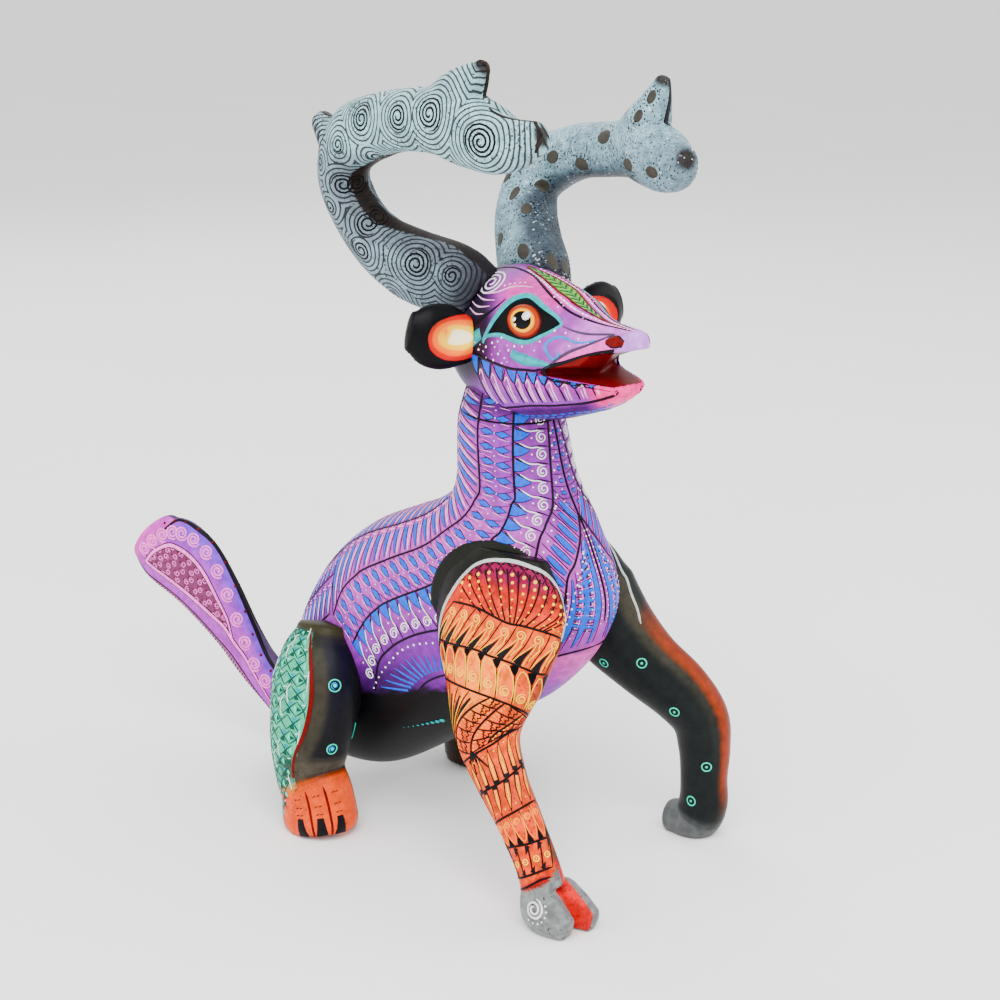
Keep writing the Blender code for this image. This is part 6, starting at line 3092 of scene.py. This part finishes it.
@dataclass
class BentFrontLeg(Leg):
    """The left front leg, black with a copper edge and a round hoof."""

    def finish(self) -> Finish:
        """Satin black that shows its dabs."""
        return SMOKY_GROUND

    def ground(self, points: np.ndarray) -> np.ndarray:
        """Black inside, olive-grey shoulder, a copper ridge down the front, grey hoof.

        Args:
            points: Points in the object's frame, in millimetres.

        Returns:
            Linear colours, one row for each point.
        """
        t, a = self.loft.chart_of(points)
        colour = plain(tone(38, 42, 42), t)
        colour = mix(colour, tone(92, 88, 78), smooth(np.abs(a - 112), 24, 8) * smooth(t, 9, 3.5) * 0.6)
        ridge = smooth(np.abs(a - np.interp(t, [3, 5, 8, 10], [92, 84, 84, 80])), 32, 12)
        colour = mix(colour, tone(150, 72, 36), ridge * smooth(t, 3.2, 5.2) * smooth(t, 10.4, 8.8) * 0.8)
        colour = mix(
            colour, tone(120, 62, 44),
            smooth(np.abs(a - 40), 60, 30) * smooth(t, 3, 5) * smooth(t, 10, 8) * 0.6
        )
        return mix(colour, tone(104, 106, 106), smooth(t, 10.1, 10.8))

    def paint(self, wood: bpy.types.Object) -> list[bpy.types.Object]:
        """Mint rings on the inner and the outer face, and the pale shoulder line.

        Args:
            wood: The carved wood.

        Returns:
            The paint's objects.
        """
        brush = Brush(self.name, wood)
        for t, a in ((4.2, 196), (4.8, 150), (6.2, 176), (8.3, 142), (9.6, 178), (3.4, 170)):
            self.ring_at(brush, t, a)
        brush.stroke(
            trace(self.loft, ((0.4, 20), (0.2, 60), (1.3, 88), (2.7, 100), (3.5, 104), (4, 112))), 0.42,
            Ink.PALE, 3
        )
        for t, a in ((2.4, 20), (4.2, 350), (5.6, 12), (7.0, 345), (8.6, 8), (3.2, 318), (9.6, 350)):
            self.ring_at(brush, t, a)
        return brush.lay()


@dataclass
class HindLeg(Leg):
    """A hind leg with a teal mosaic, a dark-red line and an orange clawed paw."""

    rows: tuple = HIND_LEG
    reach: tuple[float, float] = (6, 9)

    def finish(self) -> Finish:
        """Satin paint."""
        return SpongedPaint("haunch_ground", roughness=0.36, mottle=0.18, dark=0.05)

    def chart(self, points: np.ndarray) -> tuple[np.ndarray, np.ndarray]:
        """The chart as if on the right leg."""
        t, a = self.loft.chart_of(points)
        return t, (a if self.way > 0 else (180 - a) % 360)

    def ground(self, points: np.ndarray) -> np.ndarray:
        """Mosaic outside, black in front and inside, olive rim, smoky ankle, orange paw.

        Args:
            points: Points in the object's frame, in millimetres.

        Returns:
            Linear colours, one row for each point.
        """
        t, a = self.chart(points)
        colour = plain(tone(104, 176, 152), t)
        line = np.interp(t, [0.4, 1.6, 2.6, 3.4, 4.2, 5.1], [162, 150, 146, 150, 160, 164])
        dark = np.maximum(smooth(line - a, -1, 1.5), smooth(a, 300, 306))
        colour = mix(colour, tone(34, 34, 38), dark)
        colour = mix(colour, tone(30, 28, 52), smooth(np.abs(a - 112), 30, 10) * smooth(t, 3.5, 1.5) * 0.5)
        colour = mix(colour, tone(46, 44, 38), smooth(t, 0.25, -0.15))
        colour = mix(
            colour, tone(74, 70, 54), smooth(t, 0.7, -0.3) * smooth(np.abs(a - 130), 120, 60) * 0.8
        )
        colour = mix(
            colour, tone(96, 92, 78),
            smooth(np.abs(a - line + 12), 16, 4) * smooth(t, 0.2, 1) * dark * 0.45
        )
        ankle = smooth(np.abs(t - 4.7), 0.75, 0.2) * smooth(np.abs(a - 120), 80, 50)
        colour = mix(colour, tone(84, 80, 72), ankle * 0.9)
        front = smooth(np.abs(a - 135), 92, 78)
        paw = smooth(t, 5.15, 5.75) * front
        colour = mix(colour, tone(206, 104, 2), paw)
        return mix(colour, tone(70, 60, 52), smooth(np.abs(a - 135), 74, 90) * smooth(t, 5.2, 5.8))

    def paint(self, wood: bpy.types.Object) -> list[bpy.types.Object]:
        """The mosaic, the lines, the rings and the paw.

        Args:
            wood: The carved wood.

        Returns:
            The paint's objects.
        """
        brush = Brush(self.name, wood)
        place = tuple if self.way > 0 else flipped
        self.paint_mosaic(brush, place)
        self.paint_paw(brush, place)
        loft = self.loft
        red = ((0.2, 164), (0.4, 162), (1.6, 150), (2.6, 146), (3.4, 150), (4.2, 160), (5.1, 164))
        brush.stroke(trace(loft, place(red)), (0.3, 0.7, 0.85, 0.8, 0.6, 0.4), Ink.OXBLOOD, 3)
        for t, a, size in ((1.9, 118, 1.9), (3.75, 106, 1.7)):
            ((t, a),) = place(((t, a),))
            self.ring_at(brush, t, a, size, Ink.MINT)
            brush.stroke(spiral_in(frame_at(loft, t, a), size * 0.65, 1.2, 0), 0.22, Ink.SKY, 2.6)
        mint = place(((3.0, 66), (3.3, 64), (3.5, 65)))
        brush.stroke(trace(loft, mint, 0.5), 0.22, Ink.MINT, 2)
        return brush.lay()

    def paint_mosaic(self, brush: Brush, place: Callable[[Path], Path]) -> None:
        """Crossing arcs, dark triangles and light strokes like cut glass.

        Args:
            brush: The brush.
            place: Moves a chart path of the right side to the side being painted.
        """
        loft = self.loft
        for row, t in enumerate(np.arange(0.2, 6.9, 0.42)):
            left = float(
                np.interp(t, [0.4, 1.6, 2.6, 3.4, 4.2, 5.1, 6.8], [166, 153, 149, 153, 163, 168, 214])
            )
            for column, a in enumerate(np.arange(left + 4 + 10 * (row % 2), 296, 20)):
                def at(dt: float, da: float) -> tuple[float, float]:
                    """A place near this tile's middle, kept on the mosaic's side of the red line."""
                    return t + dt, max(a + da, left + 1)

                brush.stroke(
                    trace(loft, place((at(-0.21, -10), at(0, 0), at(0.21, 10)))), 0.24, Ink.FOREST, 2
                )
                brush.stroke(
                    trace(loft, place((at(-0.21, 10), at(0, 0), at(0.21, -10)))), 0.24, Ink.FOREST, 2
                )
                if (row + column) % 2:
                    brush.stroke(
                        trace(loft, place((at(0.02, 1), at(0.16, 1)))), (0.15, 1.1), Ink.FOREST, 1.6
                    )
                    brush.stroke(
                        trace(loft, place((at(-0.17, 0), at(-0.03, 0)))), (1.0, 0.1), Ink.LAGOON, 1.5
                    )
                    brush.stroke(
                        trace(loft, place((at(-0.1, -8), at(0.1, -9)))), (0.2, 0.55, 0.2), Ink.MINT, 1.8
                    )
                else:
                    brush.stroke(trace(loft, place((at(0.0, 3), at(0.0, 9)))), (0.1, 0.8), Ink.FOREST, 1.6)
                    brush.stroke(trace(loft, place((at(-0.14, 3), at(-0.16, -3)))), 0.2, Ink.WHITE, 2.2)
                if (row * 3 + column) % 4 == 0:
                    brush.stroke(
                        trace(loft, place((at(-0.3, -9), at(-0.05, -4), at(0.3, -8)))), 0.18, Ink.WHITE,
                        2.6
                    )

    def paint_paw(self, brush: Brush, place: Callable[[Path], Path]) -> None:
        """Red lines between the toes, black ticks and claws.

        Args:
            brush: The brush.
            place: Moves a chart path of the right side to the side being painted.
        """
        loft = self.loft
        for a in (151, 121):
            brush.stroke(
                trace(loft, place(((5.75, a), (6.6, a - 1), (7.62, a - 2)))), 0.42, Ink.OXBLOOD, 2.5
            )
        for a in (168, 136, 104):
            claw = trace(loft, place(((6.66, a), (7.0, a), (7.5, a))), 0.5)
            brush.stroke(claw, (1.1, 2.0, 2.2, 2.0), Ink.SOFT_BLACK, 4)
            for t in (5.95, 6.25, 6.5):
                for drift in (-3.2, 3.4):
                    tick = ((t, a + drift - 2.6), (t + 0.03, a + drift + 2.6))
                    brush.stroke(trace(loft, place(tick), 0.5), 0.2, Ink.SOFT_BLACK, 2)


def peg_finish() -> None:
    """Dresses the pegs and dowels, which are bare wood."""
    for name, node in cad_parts.items():
        if name.endswith(("_peg", "_dowel")):
            for place in node.material_slots:
                place.material = DRY_WOOD.material()


@dataclass(frozen=True)
class Lamp:
    """A soft square light aimed at the figure."""

    name: str
    place: tuple[float, float, float]
    size: float
    power: float
    aim: tuple[float, float, float] = (0, 0, 0.11)

    def hang(self) -> None:
        """Adds the light."""
        data = bpy.data.lights.new(self.name, "AREA")
        data.shape, data.size, data.energy = "SQUARE", self.size, self.power
        lamp = bpy.data.objects.new(self.name, data)
        lamp.location = self.place
        lamp.rotation_euler = (Vector(self.aim) - Vector(self.place)).to_track_quat("-Z", "Y").to_euler()
        bpy.context.scene.collection.objects.link(lamp)


@dataclass(frozen=True)
class Studio:
    """The floor, the sky, the lamps and the camera."""

    azimuth: float = -48
    elevation: float = 16
    distance: float = 0.5444
    target: tuple[float, float, float] = (-0.032, -0.07385, 0.1211)
    lamps: tuple[Lamp, ...] = (
        Lamp("key_lamp", (-0.55, -0.55, 1.05), 0.9, 21),
        Lamp("fill_lamp", (0.75, -0.75, 0.6), 0.9, 7),
        Lamp("side_lamp", (-1.0, 0.35, 0.5), 0.8, 6),
        Lamp("back_lamp", (0.5, 0.9, 0.9), 0.8, 7),
    )

    def set_up(self) -> None:
        """Makes all of it."""
        for lamp in self.lamps:
            lamp.hang()
        world = bpy.data.worlds.new("studio_sky")
        world.use_nodes = True
        sky = world.node_tree.nodes["Background"]
        sky.inputs["Color"].default_value = (0.95, 0.95, 0.96, 1)
        sky.inputs["Strength"].default_value = 1.5
        bpy.context.scene.world = world
        size = 30000
        corners = [(-size, -size, -0.02), (size, -size, -0.02), (size, size, -0.02), (-size, size, -0.02)]
        floor = mesh_object("floor", np.array(corners, float), [(0, 1, 2, 3)])
        PALE_FLOOR.dress(floor)
        floor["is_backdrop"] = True
        self.add_camera()

    def add_camera(self) -> None:
        """The camera at the figure's front right."""
        data = bpy.data.cameras.new("camera")
        data.lens, data.sensor_width = 70, 36
        data.clip_start, data.clip_end = 0.01, 20
        turn, rise = math.radians(self.azimuth), math.radians(self.elevation)
        back = Vector((math.sin(turn) * math.cos(rise), -math.cos(turn) * math.cos(rise), math.sin(rise)))
        camera = bpy.data.objects.new("camera", data)
        camera.location = Vector(self.target) + back * self.distance
        camera.rotation_euler = back.to_track_quat("Z", "Y").to_euler()
        bpy.context.scene.collection.objects.link(camera)
        bpy.context.scene.camera = camera


def pieces() -> list[Carving]:
    """Every carved piece of the figure, in the order it is made.

    Returns:
        The pieces.
    """
    legs = "right_front_leg", "left_front_leg", "right_hind_leg", "left_hind_leg"
    return [
        Torso("torso", "figure", "body_paint", ("torso",)),
        Head("head", "figure", "head_paint", ("head",)),
        Antler("right_antler", "right_antler_body", "antler_paint", ("right_antler",)),
        Antler(
            "left_antler", "left_antler_body", "antler_paint", (
                "left_antler",
            ), "left", LEFT_BEAM, LEFT_TINE, LEFT_SPUR
        ),
        Ear("right_ear", "right_ear_body", "ear_paint", ("right_ear",)),
        Ear("left_ear", "left_ear_body", "ear_paint", ("left_ear",), "left", offset=LEFT_EAR_OFFSET),
        Tail("tail", "tail_body", "tail_paint", ("tail",)),
        HoofedFrontLeg(legs[0], "figure", f"{legs[0]}_paint", legs[:1], toes=TOES),
        BentFrontLeg(legs[1], "figure", f"{legs[1]}_paint", legs[1:2], LEFT_FRONT_LEG, (5, 4)),
        HindLeg(legs[2], "figure", "hind_leg_paint", legs[2:3]),
        HindLeg(legs[3], "figure", "hind_leg_paint", legs[3:], way=-1),
    ]


def main() -> None:
    """Makes the figure in its order, then the studio."""
    logging.basicConfig(level=logging.INFO, format="%(message)s")
    for piece in pieces():
        piece.build()
    peg_finish()
    Studio().set_up()
    sizes = {"cad": CAD_BOX, "visual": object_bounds()}
    {name: [list(map(float, corner)) for corner in box] for name, box in sizes.items()}


if __name__ == "__main__":
    main()
